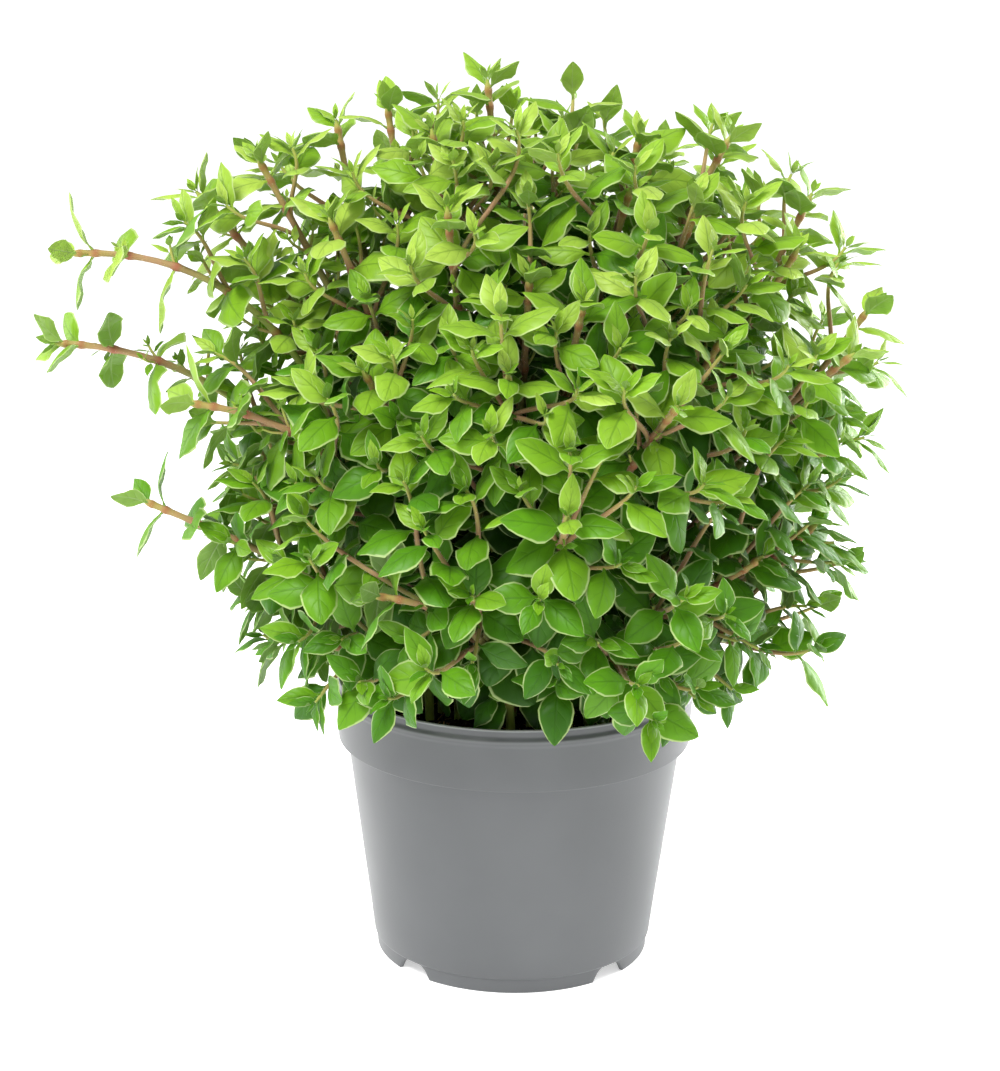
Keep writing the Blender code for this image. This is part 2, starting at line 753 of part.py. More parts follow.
def main():
    clear_scene()
    parts = new_collection("potted_oregano")
    cutters = new_collection("cutters")
    stems = grow_stems()
    pot = make_pot(parts, cutters)
    make_soil(parts, cutters, stems)
    greens = [plain_material(f"oregano_leaf_{i}", colour, 0.45) for i, colour in enumerate(GREENS)]
    for stem in stems:
        step = sum(stem["line"][-1][2] > height for height in GREEN_HEIGHTS)
        make_stem(stem, parts, greens[step])
    pot.data.shade_smooth()
    pot.data.set_sharp_from_angle(angle=radians(40))


main()
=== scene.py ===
# %% [markdown]
# A potted oregano, dressed for its portrait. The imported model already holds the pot, the soil
# and every leafy stem at its real size, with only a few sides on each leaf. This lesson grows
# the same plant again by the same rule, with fine leaves, side shoots and real finishes, and
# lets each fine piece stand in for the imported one.

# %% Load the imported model
import json
from math import atan2, cos, pi, radians, sin, sqrt

import bmesh
import bpy
import numpy as np
from mathutils import Matrix, Vector, noise
from mathutils.bvhtree import BVHTree
from mathutils.kdtree import KDTree

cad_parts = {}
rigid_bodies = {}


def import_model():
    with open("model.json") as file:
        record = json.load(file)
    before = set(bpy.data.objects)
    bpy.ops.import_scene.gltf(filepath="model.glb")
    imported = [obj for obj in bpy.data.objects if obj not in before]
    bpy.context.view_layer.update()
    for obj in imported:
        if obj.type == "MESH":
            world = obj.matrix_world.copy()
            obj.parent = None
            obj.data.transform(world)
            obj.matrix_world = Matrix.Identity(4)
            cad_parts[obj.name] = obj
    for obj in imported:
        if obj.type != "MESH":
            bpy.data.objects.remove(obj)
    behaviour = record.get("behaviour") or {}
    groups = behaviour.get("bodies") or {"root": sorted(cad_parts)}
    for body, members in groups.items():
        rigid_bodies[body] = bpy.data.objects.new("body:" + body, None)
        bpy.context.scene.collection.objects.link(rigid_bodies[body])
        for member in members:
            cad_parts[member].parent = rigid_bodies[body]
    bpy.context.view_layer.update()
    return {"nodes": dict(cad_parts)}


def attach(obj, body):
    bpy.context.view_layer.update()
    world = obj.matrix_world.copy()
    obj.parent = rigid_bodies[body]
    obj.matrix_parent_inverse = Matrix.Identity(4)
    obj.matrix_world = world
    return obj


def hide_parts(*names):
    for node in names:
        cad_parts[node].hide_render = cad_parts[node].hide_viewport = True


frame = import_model()
MM = 0.001

# %% [markdown]
# The camera comes first, because it decides what the portrait has to show. The photo looks
# down on the pot by about 14 degrees, from 0.78 m in front of it and 0.35 m up, with a long
# lens. Sensor fit is vertical, so the lens keeps its angle whatever the picture's width is.

# %% Camera
CAMERA_PLACE = Vector((0.0, -0.784, 0.3461))
CAMERA_PITCH = 14.45
CAMERA_YAW = 0.40
CAMERA_ROLL = 0.59
SENSOR = 36.0
PHOTO_HEIGHT = 1071
FOCAL_PIXELS = 2425


def make_camera():
    data = bpy.data.cameras.new("portrait_camera")
    data.sensor_fit = "VERTICAL"
    data.sensor_height = SENSOR
    data.lens = SENSOR * FOCAL_PIXELS / PHOTO_HEIGHT
    data.clip_start = 0.01
    camera = bpy.data.objects.new("portrait_camera", data)
    bpy.context.scene.collection.objects.link(camera)
    turn = (Matrix.Rotation(radians(CAMERA_YAW), 4, "Z")
            @ Matrix.Rotation(radians(90 - CAMERA_PITCH), 4, "X")
            @ Matrix.Rotation(radians(CAMERA_ROLL), 4, "Z"))
    camera.matrix_world = Matrix.Translation(CAMERA_PLACE) @ turn
    bpy.context.scene.camera = camera
    return camera


camera = make_camera()
print("camera lens:", round(camera.data.lens, 1), "mm")

# %% [markdown]
# A few small helpers serve every step below. One adds a node with its settings and links, for
# materials and for geometry alike. One turns a colour as a painter writes it, in sRGB hex, into
# the linear numbers that a shader works with. The others start a material or a node tree, run a
# tree on an object, and keep what it makes as a plain mesh.

# %% Helpers for numbers, node trees and objects
def clamped(value, low=0.0, high=1.0):
    return min(max(value, low), high)


def eased(share):
    """A share from 0 to 1, or an array of them, that starts and ends gently."""
    return share * share * (3 - 2 * share)


def colour(hex_code):
    """An sRGB hex colour as linear RGBA."""
    channels = [int(hex_code[i:i + 2], 16) / 255 for i in (1, 3, 5)]
    linear = [c / 12.92 if c <= 0.04045 else ((c + 0.055) / 1.055) ** 2.4 for c in channels]
    return (*linear, 1.0)


def add_node(tree, kind, links=None, stops=(), **settings):
    """Add a node. Its inputs are fed by nodes, sockets, plain values or hex colours."""
    node = tree.nodes.new(kind)
    for name, value in settings.items():
        setattr(node, name, value)
    for name, source in (links or {}).items():
        socket = node.inputs[name]
        if isinstance(source, bpy.types.Node):
            source = next(out for out in source.outputs if out.enabled)
        if isinstance(source, bpy.types.NodeSocket):
            tree.links.new(source, socket)
        elif socket.type == "RGBA" and isinstance(source, str):
            socket.default_value = colour(source)
        else:
            socket.default_value = source
    for _ in stops[2:]:
        node.color_ramp.elements.new(0.5)
    for i, (place, code) in enumerate(stops):
        node.color_ramp.elements[i].position = place
        node.color_ramp.elements[i].color = colour(code)
    return node


def new_material(name, **constants):
    """A material whose constant values are set on the shader's own sockets."""
    material = bpy.data.materials.new(name)
    material.use_nodes = True
    shader = material.node_tree.nodes["Principled BSDF"]
    for socket, value in constants.items():
        shader.inputs[socket.replace("_", " ")].default_value = value
    return material, material.node_tree, shader


def add_object(name, data):
    obj = bpy.data.objects.new(name, data)
    bpy.context.scene.collection.objects.link(obj)
    return obj


def applied(obj):
    """Replace an object's mesh by its evaluated one, so that no modifier is left on it."""
    graph = bpy.context.evaluated_depsgraph_get()
    mesh = bpy.data.meshes.new_from_object(
        obj.evaluated_get(graph), preserve_all_data_layers=True, depsgraph=graph)
    obj.modifiers.clear()
    obj.data = mesh
    return obj


def smoothed(obj, sharp):
    """Smooth shading, but for edges sharper than an angle in degrees."""
    obj.data.shade_smooth()
    obj.data.set_sharp_from_angle(angle=radians(sharp))


def new_group(name):
    """A collection that holds the shapes for instances."""
    group = bpy.data.collections.new(name)
    bpy.context.scene.collection.children.link(group)
    return group


def remove_group(group):
    """Remove a collection with its objects, when their instances have been made real."""
    for shape in list(group.objects):
        bpy.data.objects.remove(shape, do_unlink=True)
    bpy.data.collections.remove(group)


def new_tree(name, sockets, output):
    """A Geometry Nodes tree with its inputs, and the outputs of its input node."""
    tree = bpy.data.node_groups.new(name, "GeometryNodeTree")
    for socket, kind in sockets.items():
        tree.interface.new_socket(socket, in_out="INPUT", socket_type="NodeSocket" + kind)
    tree.interface.new_socket(output, in_out="OUTPUT", socket_type="NodeSocketGeometry")
    return tree, add_node(tree, "NodeGroupInput").outputs


def run_tree(obj, tree, inputs):
    """Run a tree on an object and keep what it makes as the object's mesh."""
    modifier = obj.modifiers.new(tree.name, "NODES")
    modifier.node_group = tree
    for item in tree.interface.items_tree:
        if item.in_out == "INPUT" and item.name in inputs:
            modifier[item.identifier] = inputs[item.name]
    applied(obj)


print("red of #808080 is", round(colour("#808080")[0], 3))

# %% [markdown]
# The pot is injection-moulded polypropylene, turned about its axis but for the four notches
# that part its foot ring. A profile with a Screw modifier gives the turned body. A small radius
# on each edge catches the light as a moulded edge does. The notches are not cut: the vertices
# of the foot ring are lifted along a trapezoid with soft corners, so its faces stay quads.

# %% Sizes of the pot
POT_HEIGHT = 96.0 * MM
LIP_RADIUS = 59.8 * MM
BEAD_RADIUS = 60.7 * MM
BEAD_HEIGHT = 92.2 * MM
COLLAR_LOW_RADIUS = 59.6 * MM
COLLAR_LOW_HEIGHT = 75.2 * MM
BODY_TOP_RADIUS = 56.6 * MM
BODY_LOW_RADIUS = 47.5 * MM
WALL = 1.3 * MM
FOOT_RADIUS = 46.8 * MM
FOOT_HEIGHT = 4.8 * MM
FOOT_WALL = 1.8 * MM
FLOOR_TOP = 6.2 * MM
PAD_RADIUS = 8.0 * MM
NOTCHES = 4
NOTCH_FIRST_ANGLE = 45.0
NOTCH_LOW_WIDTH = 14.2 * MM
NOTCH_TOP_WIDTH = 9.0 * MM
DRAINS = 6
DRAIN_RADIUS = 4.0 * MM
DRAIN_CIRCLE = 30.0 * MM
SOIL_TOP = 86.0 * MM
SOIL_LUMP = 1.6 * MM
HOLE_DEPTH = 9.0 * MM
FINE_POT_SIDES = 160
EDGE_ARC = 4
POT_SHARP = 32
DRILL_SIDES = 24
DRILL_DEPTH = 8 * MM
# The pot's painted highlights start at this height
PAINTED_HIGHLIGHT_FROM = 90 * MM


def wall_radius(z):
    """Radius of the pot body's outside at height z."""
    share = (z - FOOT_HEIGHT) / (COLLAR_LOW_HEIGHT - FOOT_HEIGHT)
    return BODY_LOW_RADIUS + share * (BODY_TOP_RADIUS - BODY_LOW_RADIUS)


def rounded(corners):
    """A profile whose corners (radius, height, rounding) are drawn as short arcs."""
    points = []
    for i, (r, z, rounding) in enumerate(corners):
        here = Vector((r, z))
        if rounding == 0 or i in (0, len(corners) - 1):
            points.append(tuple(here))
            continue
        before = Vector(corners[i - 1][:2]) - here
        after = Vector(corners[i + 1][:2]) - here
        cut = min(rounding, before.length * 0.45, after.length * 0.45)
        start = here + before.normalized() * cut
        end = here + after.normalized() * cut
        for k in range(EDGE_ARC + 1):
            t = k / EDGE_ARC
            points.append(tuple(start * (1 - t) ** 2 + here * 2 * t * (1 - t) + end * t * t))
    return points


def fine_pot_profile():
    """From the floor's middle up the inside, over the lip, and down the outside."""
    inner_low = wall_radius(FLOOR_TOP) - WALL
    inner_top = LIP_RADIUS - WALL
    foot_inner = FOOT_RADIUS - FOOT_WALL
    soft = 0.6 * MM
    body = [
        (BODY_TOP_RADIUS - (BODY_TOP_RADIUS - BODY_LOW_RADIUS) * k / 8,
         COLLAR_LOW_HEIGHT - 0.4 * MM - (COLLAR_LOW_HEIGHT - FOOT_HEIGHT - 1.6 * MM) * k / 8, 0)
        for k in range(1, 8)
    ]
    return rounded([
        (0.0, FLOOR_TOP, 0),
        (inner_low, FLOOR_TOP, 1.5 * MM),
        (BODY_TOP_RADIUS - WALL, COLLAR_LOW_HEIGHT + 0.5 * MM, 0.5 * MM),
        (COLLAR_LOW_RADIUS - WALL, COLLAR_LOW_HEIGHT + 2.5 * MM, 0.5 * MM),
        (inner_top - 0.1 * MM, POT_HEIGHT - 6 * MM, 0),
        (inner_top, POT_HEIGHT, soft),
        (LIP_RADIUS, POT_HEIGHT, soft),
        (LIP_RADIUS - 0.05 * MM, BEAD_HEIGHT + 1.3 * MM, 0.5 * MM),
        (BEAD_RADIUS, BEAD_HEIGHT + 0.1 * MM, 0.5 * MM),
        (BEAD_RADIUS, BEAD_HEIGHT - 1.1 * MM, 0.7 * MM),
        (BEAD_RADIUS - 0.35 * MM, BEAD_HEIGHT - 2.0 * MM, 0.5 * MM),
        (COLLAR_LOW_RADIUS + 0.25 * MM, COLLAR_LOW_HEIGHT + 6 * MM, 0),
        (COLLAR_LOW_RADIUS, COLLAR_LOW_HEIGHT, 0.45 * MM),
        (BODY_TOP_RADIUS, COLLAR_LOW_HEIGHT - 0.35 * MM, 0.2 * MM),
        *body,
        (BODY_LOW_RADIUS, FOOT_HEIGHT + 0.6 * MM, 1.6 * MM),
        (FOOT_RADIUS, FOOT_HEIGHT, 0.2 * MM),
        (FOOT_RADIUS - 0.1 * MM, FOOT_HEIGHT * 0.66, 0),
        (FOOT_RADIUS - 0.2 * MM, FOOT_HEIGHT * 0.33, 0),
        (FOOT_RADIUS - 0.3 * MM, 0.0, 0.5 * MM),
        (foot_inner, 0.0, 0.3 * MM),
        (foot_inner - 0.4 * MM, FOOT_HEIGHT, 0.4 * MM),
        (PAD_RADIUS + 0.8 * MM, FOOT_HEIGHT, 0.4 * MM),
        (PAD_RADIUS, 0.0, 0.3 * MM),
        (0.0, 0.0, 0),
    ])


print("points in the pot's profile:", len(fine_pot_profile()))

# %% Turn the pot, lift its notches and bore its drains
def turned(name, profile, sides):
    """A solid turned about Z from a profile of (radius, height) points."""
    mesh = bpy.data.meshes.new(name)
    edges = [(i, i + 1) for i in range(len(profile) - 1)]
    mesh.from_pydata([(r, 0.0, z) for r, z in profile], edges, [])
    obj = add_object(name, mesh)
    screw = obj.modifiers.new("turn", "SCREW")
    screw.steps = sides
    screw.render_steps = sides
    screw.use_merge_vertices = True
    screw.merge_threshold = 0.01 * MM
    return applied(obj)


def notch_rise(angle):
    """How far the foot ring's lower edge is lifted at an angle round the pot, 0 to 1."""
    pitch = 2 * pi / NOTCHES
    off = (angle - radians(NOTCH_FIRST_ANGLE) + pitch / 2) % pitch - pitch / 2
    across = abs(off) * FOOT_RADIUS
    low, top = NOTCH_LOW_WIDTH / 2, NOTCH_TOP_WIDTH / 2
    return eased(clamped((low - across) / (low - top)))


def make_pot():
    pot = turned("herb_pot", fine_pot_profile(), FINE_POT_SIDES)
    foot_inner = FOOT_RADIUS - FOOT_WALL - 0.45 * MM
    most = FOOT_HEIGHT - 0.25 * MM
    for vert in pot.data.vertices:
        if vert.co.xy.length > foot_inner and vert.co.z < FOOT_HEIGHT - 0.02 * MM:
            rise = most * notch_rise(atan2(vert.co.y, vert.co.x))
            vert.co.z += rise * (1 - vert.co.z / FOOT_HEIGHT)
    shape = bmesh.new()
    for i in range(DRAINS):
        angle = 2 * pi * i / DRAINS
        place = Matrix.Translation(
            (cos(angle) * DRAIN_CIRCLE, sin(angle) * DRAIN_CIRCLE, FLOOR_TOP))
        bmesh.ops.create_cone(
            shape, cap_ends=True, segments=DRILL_SIDES, radius1=DRAIN_RADIUS,
            radius2=DRAIN_RADIUS, depth=DRILL_DEPTH, matrix=place)
    mesh = bpy.data.meshes.new("drills")
    shape.to_mesh(mesh)
    shape.free()
    drills = add_object("drills", mesh)
    bore = pot.modifiers.new("drains", "BOOLEAN")
    bore.operation = "DIFFERENCE"
    bore.object = drills
    applied(pot)
    bpy.data.objects.remove(drills, do_unlink=True)
    smoothed(pot, POT_SHARP)
    return pot


pot = make_pot()
print("pot faces:", len(pot.data.polygons))

# %% [markdown]
# The plastic is grey polypropylene. Its gloss is satin, because the mould was finely etched,
# and its grey is faintly cloudy. Two painted highlights run round it, one along the lip's edge
# and one along the bead under it: the lights alone leave these edges too dark, so their colour
# is painted paler by height.

# %% Material of the pot
def polypropylene():
    material, tree, shader = new_material(
        "injection_moulded_polypropylene", IOR=1.49, Specular_IOR_Level=0.5)
    place = add_node(tree, "ShaderNodeTexCoord").outputs["Object"]
    clouds = add_node(tree, "ShaderNodeTexNoise", {"Vector": place, "Scale": 28.0, "Detail": 4.0})
    tint = add_node(
        tree, "ShaderNodeValToRGB", {"Fac": clouds}, stops=[(0.3, "#525456"), (0.7, "#585A5C")])
    # Painted highlights: two bands by height, along the bead and along the lip's edge, are painted
    # paler
    height = add_node(tree, "ShaderNodeSeparateXYZ", {"Vector": place}).outputs["Z"]
    rise = add_node(
        tree, "ShaderNodeMapRange",
        {"Value": height, "From Min": PAINTED_HIGHLIGHT_FROM, "From Max": POT_HEIGHT})
    pale = add_node(
        tree, "ShaderNodeValToRGB", {"Fac": rise},
        stops=[(0.22, "#000000"), (0.36, "#7A7A7A"), (0.46, "#000000"), (0.88, "#000000"),
               (0.96, "#E0E0E0")])
    tint = add_node(tree, "ShaderNodeMix", {0: pale, 6: tint, 7: "#B2B4B6"}, data_type="RGBA")
    tree.links.new(tint.outputs[2], shader.inputs["Base Color"])
    gloss = add_node(
        tree, "ShaderNodeMapRange",
        {"Value": clouds, "From Min": 0.3, "From Max": 0.7, "To Min": 0.34, "To Max": 0.42})
    tree.links.new(gloss.outputs["Result"], shader.inputs["Roughness"])
    etch = add_node(tree, "ShaderNodeTexNoise", {"Vector": place, "Scale": 1500.0, "Detail": 2.0})
    bump = add_node(
        tree, "ShaderNodeBump", {"Height": etch, "Strength": 0.05, "Distance": 0.05 * MM})
    tree.links.new(bump.outputs["Normal"], shader.inputs["Normal"])
    return material


pot.data.materials.append(polypropylene())
print("pot material:", pot.data.materials[0].name)

# %% [markdown]
# Now the plant. Oregano belongs to the mint family: its stems are square and its leaves stand
# in pairs, each pair square to the one before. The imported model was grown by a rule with
# seeded draws, and the cells below repeat that rule number for number: the same tips, the
# same lines, the same draws in the same order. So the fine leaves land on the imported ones.

# %% The growth rule's sizes
GAP = 0.3 * MM
POT_SIDES = 28
STEM_LOW_SIDE = 3.3 * MM
STEM_TIP_SIDE = 1.9 * MM
STEM_SPACING = 5.6 * MM
CHORD_SLACK = 1.0 * MM
BASE_SPACING = 9.5 * MM
BASE_REACH = 45.0 * MM
BASE_PULL = 0.5
BASE_ROUNDS = 400
SOIL_TEST_RADIUS = 57 * MM
ARCH_SPAN = 45.0 * MM
LINE_POINTS = 41
LINE_ROUNDS = 45
LEAST_RISE = 14.0 * MM
END_PULL = 0.42
RIM_CLEARANCE = 8.0 * MM
RIM_START = 44.0 * MM
RIM_RUN = 12.0 * MM
MOST_PUSH = 1.5 * MM
SEED = 11

# Leaf pairs from the tip down: mm below the tip, blade length in mm, width over length,
# and lift above the square-on position in degrees
PAIRS = [
    (3.5, 13.5, 0.50, 46),
    (8.5, 16.5, 0.58, 28),
    (19.0, 18.5, 0.66, 12),
    (34.0, 19.5, 0.74, 3),
    (52.0, 19.5, 0.78, -4),
    (72.0, 18.5, 0.80, -8),
]
BLADE = 0.76 * MM
PETIOLE_WIDTH = 1.5 * MM
PETIOLE_SHARE = 0.13
FREE_FROM = 0.22
STATIONS = (0.40, 0.76)
YOUNG_STATION = 0.48
OUTLINE_SPREAD = 1.07
TILT_SPREAD = 6.0
SWING_SPREAD = 8.0
ROLL_SPREAD = 12.0
YOUNG_RISE = 0.10
OLD_DROOP = 0.30
SKYWARD = 0.55
OUTWARD = 0.25
LEAF_TRIES = 18

# Tips of the stems on the viewer's side: x, y, z in mm, the lift of the tip in degrees,
# its heading in degrees or None for straight outwards, and its pairs of packed leaves
FRONT_STEMS = [
    # the long arms on the left
    (-141, -30, 241, -4, 182, 5),
    (-150, -10, 209, 0, 180, 5),
    (-103, -45, 197, 6, 185, 5),
    (-121, -25, 161, 22, 176, 5),
    # the upper left shoulder
    (-104, -5, 258, 48, None, 4),
    (-83, -15, 270, 62, None, 3),
    # the crown, from left to right
    (-60, 10, 280, 80, None, 3),
    (-43, 0, 286, 82, None, 3),
    (-59, -35, 254, 66, None, 4),
    (-28, -20, 280, 80, None, 3),
    (-22, -55, 260, 74, None, 4),
    (-11, 0, 294, 84, None, 3),
    (14, -12, 276, 78, None, 3),
    (38, 0, 277, 78, None, 3),
    (34, -34, 264, 70, None, 3),
    (67, 0, 277, 62, None, 3),
    (55, -30, 257, 66, None, 3),
    (79, 25, 256, 60, None, 3),
    (95, 10, 258, 66, None, 4),
    (88, -20, 244, 60, None, 3),
    # the right shoulder
    (114, 0, 222, 56, None, 4),
    (107, -22, 211, 40, None, 4),
    (99, -10, 152, 45, None, 4),
    # the upper front
    (3, -60, 240, 66, None, 3),
    (19, -72, 234, 62, None, 3),
    (45, -52, 238, 64, None, 3),
    (-3, -85, 215, 48, None, 5),
    (-47, -62, 211, 50, None, 4),
    (62, -55, 221, 58, None, 4),
    (47, -90, 207, 40, None, 5),
    # the lower front
    (15, -100, 176, 42, None, 5),
    (-44, -75, 144, 4, 178, 4),
    (-13, -88, 148, 30, None, 4),
    (78, -45, 150, 40, None, 4),
    (54, -70, 143, 30, None, 4),
    # round the rim
    (44, -75, 120, -10, None, 3),
    (82, -18, 115, 0, None, 3),
    (-64, -40, 115, -8, None, 3),
]

# The far side in rings: reach and height of the tips in mm, lift, headings, packed pairs
BACK_RINGS = [
    (86, 112, 4, (40, 95, 150), 3),
    (104, 158, 30, (15, 62, 112, 158), 4),
    (96, 208, 48, (40, 88, 136), 4),
    (64, 254, 68, (50, 88, 126), 3),
]
print("stems:", len(FRONT_STEMS) + sum(len(ring[3]) for ring in BACK_RINGS))

# %% [markdown]
# A stem's line starts upright in the soil and ends in its tip's direction, as a Bezier curve
# does. Sixty millimetres of crowded pot would send such curves through one another, so they
# are pushed apart a little at a time. A search tree finds the neighbours of each point.

# %% Lines of the stems
def stem_tips():
    """Every stem's tip, the direction it ends in, and its number of solid leaf pairs."""
    rows = []
    for x, y, z, lift, heading, pairs in FRONT_STEMS:
        rows.append((Vector((x, y, z)) * MM, lift, heading, pairs))
    for reach, z, lift, headings, pairs in BACK_RINGS:
        for heading in headings:
            angle = radians(heading)
            tip = Vector((reach * cos(angle), reach * sin(angle), z)) * MM
            rows.append((tip, lift, heading, pairs))
    return rows


def stem_bases(rows):
    """Where each stem leaves the soil: under its tip, drawn in, and evenly apart."""
    bases = []
    for tip, lift, heading, _ in rows:
        ahead = flat_heading(tip.xy, heading)
        bases.append((tip.xy - ahead * cos(radians(lift)) * ARCH_SPAN) * BASE_PULL)
    bases = np.array(bases)
    for _ in range(BASE_ROUNDS):
        apart = bases[:, None] - bases[None]
        far = np.linalg.norm(apart, axis=2) + np.eye(len(bases))
        push = np.clip(BASE_SPACING - far, 0, None) * (1 - np.eye(len(bases)))
        bases += 0.3 * (apart / far[..., None] * push[..., None]).sum(axis=1)
        reach = np.linalg.norm(bases, axis=1)
        bases *= np.minimum(1.0, BASE_REACH / reach)[:, None]
    return bases


def flat_heading(outward, heading):
    """A level direction: the heading in degrees, or straight outwards where there is none."""
    if heading is None:
        return outward.normalized()
    return Vector((cos(radians(heading)), sin(radians(heading))))


def bezier(p0, p1, p2, p3, count):
    t = np.linspace(0, 1, count)[:, None]
    s = 1 - t
    return s**3 * p0 + 3 * s * s * t * p1 + 3 * s * t * t * p2 + t**3 * p3


def stem_lines(rows, bases):
    """A smooth line for each stem, straight up out of the soil and out to its tip."""
    lines = []
    for (tip, lift, heading, _), base in zip(rows, bases):
        flat = flat_heading(tip.xy - Vector(base), heading) * cos(radians(lift))
        end = Vector((flat.x, flat.y, sin(radians(lift))))
        foot = Vector((base[0], base[1], SOIL_TOP))
        rise = max(0.5 * (tip.z - SOIL_TOP), LEAST_RISE)
        upward = foot + Vector((0, 0, rise))
        inward = tip - end * END_PULL * (tip - foot).length
        corners = [np.array(p) for p in (foot, upward, inward, tip)]
        lines.append(bezier(*corners, LINE_POINTS))
    return np.array(lines)


def part_lines(lines):
    """Bend the lines clear of one another and of the pot's rim, keeping their ends."""
    t = np.linspace(0, 1, LINE_POINTS)
    free = np.clip((t - 0.08) / 0.2, 0, 1) * np.clip((1.05 - t) / 0.25, 0.15, 1)
    for _ in range(LINE_ROUNDS):
        push = crowding(lines)
        for _ in range(3):
            push[:, 1:-1] = (push[:, :-2] + 2 * push[:, 1:-1] + push[:, 2:]) / 4
        step = 0.5 * push * free[None, :, None]
        lines = lines + np.clip(step, -MOST_PUSH, MOST_PUSH)
        reach = np.linalg.norm(lines[..., :2], axis=2)
        over = eased(np.clip((reach - RIM_START) / RIM_RUN, 0, 1))
        floor = SOIL_TOP + over * (POT_HEIGHT + RIM_CLEARANCE - SOIL_TOP)
        lines[..., 2] = np.maximum(lines[..., 2], floor)
    return lines


def crowding(lines):
    """For each point of the lines, how far the other stems' points press it away."""
    points = lines.reshape(-1, 3)
    tree = KDTree(len(points))
    for i, point in enumerate(points):
        tree.insert(point, i)
    tree.balance()
    push = np.zeros_like(points)
    for i, point in enumerate(points):
        for other, j, far in tree.find_range(point, STEM_SPACING):
            if j // LINE_POINTS != i // LINE_POINTS:
                away = (point - np.array(other)) / max(far, 0.2 * MM)
                push[i] += away * (STEM_SPACING - far)
    return push.reshape(lines.shape)


def along(line, below_tip):
    """The point and direction on a line at a distance below its tip."""
    steps = np.linalg.norm(np.diff(line, axis=0), axis=1)
    far = np.concatenate([[0.0], np.cumsum(steps)])
    place = max(far[-1] - below_tip, 0.0)
    point = Vector([np.interp(place, far, line[:, k]) for k in range(3)])
    ahead = Vector([np.interp(min(place + 2 * MM, far[-1]), far, line[:, k]) for k in range(3)])
    behind = Vector([np.interp(max(place - 2 * MM, 0.0), far, line[:, k]) for k in range(3)])
    return point, (ahead - behind).normalized(), far[-1]


TIPS = stem_tips()
LINES = part_lines(stem_lines(TIPS, stem_bases(TIPS)))
print("lines:", len(LINES), "highest point in mm:", round(LINES[..., 2].max() / MM))

# %% [markdown]
# The next cell makes the few-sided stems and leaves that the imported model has. They are not
# shown. They stand in for the fine ones when a new leaf is tested for room, because a test
# between simple shapes is quick.

# %% Few-sided stems and leaves for the tests
def stem_frames(stem):
    """Sections of the stem from its buried end to its tip, with a frame that doesn't twist."""
    line, length = stem["line"], stem["length"]
    nodes = [pair[0] * MM for pair in PAIRS[1 : stem["pairs"] + 1]]
    marks = [(near + far) / 2 for near, far in zip(nodes, nodes[1:])]
    lower = np.linspace(marks[-1], length, LINE_POINTS)
    marks += bend_marks(lower, np.array([along(line, mark)[0] for mark in lower]))
    places = [(0.0, *along(line, 0.0)[:2])]
    places += [(mark, *along(line, mark)[:2]) for mark in marks]
    up = Vector((0, 0, 1))
    foot = Vector(line[0])
    places.append((length, foot + up * 2.0 * MM, up))
    places.append((length, foot - up * (HOLE_DEPTH - GAP), up))
    places.reverse()
    side = Vector((cos(stem["twist"]), sin(stem["twist"]), 0))
    frames = []
    for mark, point, direction in places:
        side = (side - direction * side.dot(direction)).normalized()
        frames.append((mark, point, direction, side.copy()))
    return frames


def bend_marks(marks, points):
    """The marks where a stem needs a section to stay near its smooth line."""
    ahead = (points[-1] - points[0]) / np.linalg.norm(points[-1] - points[0])
    out = points - points[0]
    away = np.linalg.norm(out - np.outer(out @ ahead, ahead), axis=1)
    worst = int(away.argmax())
    if away[worst] < CHORD_SLACK:
        return []
    before = bend_marks(marks[: worst + 1], points[: worst + 1])
    return before + [marks[worst]] + bend_marks(marks[worst:], points[worst:])


def stem_side(stem, below_tip):
    share = min(below_tip / stem["length"], 1.0)
    return STEM_TIP_SIDE + (STEM_LOW_SIDE - STEM_TIP_SIDE) * share**0.8


def tube_faces(rings, sides):
    """The side faces of a tube whose rings of vertices follow one another."""
    faces = []
    for i in range(rings - 1):
        for k in range(sides):
            a, b = i * sides + k, i * sides + (k + 1) % sides
            faces.append((a, b, b + sides, a + sides))
    return faces


def stem_solid(stem):
    """A square bar swept through the stem's frames."""
    verts = []
    for mark, point, direction, side in stem["frames"]:
        half = stem_side(stem, mark) / 2
        across = direction.cross(side)
        for u, v in ((1, 1), (-1, 1), (-1, -1), (1, -1)):
            verts.append(point + side * half * u + across * half * v)
    rings = len(stem["frames"])
    faces = tube_faces(rings, 4)
    faces.append((3, 2, 1, 0))
    top = 4 * (rings - 1)
    faces.append((top, top + 1, top + 2, top + 3))
    return verts, faces


def half_width(u, length, width):
    """Half the width of a leaf at u, 0 at its root and 1 at its tip."""
    petiole = PETIOLE_WIDTH / 2
    if u <= PETIOLE_SHARE:
        return petiole
    t = (u - PETIOLE_SHARE) / (1 - PETIOLE_SHARE)
    broad = (width / length - 0.44) / 0.36
    blade = sin(pi * t ** (0.80 - 0.08 * broad)) ** (0.95 - 0.3 * broad)
    return max(width / 2 * blade, petiole * (1 - t) ** 0.5)


def blade_point(u, v, leaf):
    """A point of the blade's middle sheet: u along, v across from -1 to 1."""
    length, width = leaf["size"], leaf["width"]
    out = half_width(u, length, width) * v if u < 1 else 0.0
    arch = leaf["arch"] * length * sin(pi * min(u, 1.0) ** 0.9)
    droop = leaf["droop"] * length * u**2.2
    cup = leaf["cup"] * abs(out) * (1 - 0.45 * u)
    return Vector((u * length, out * sqrt(max(1 - leaf["cup"] ** 2, 0.2)), arch - droop + cup))


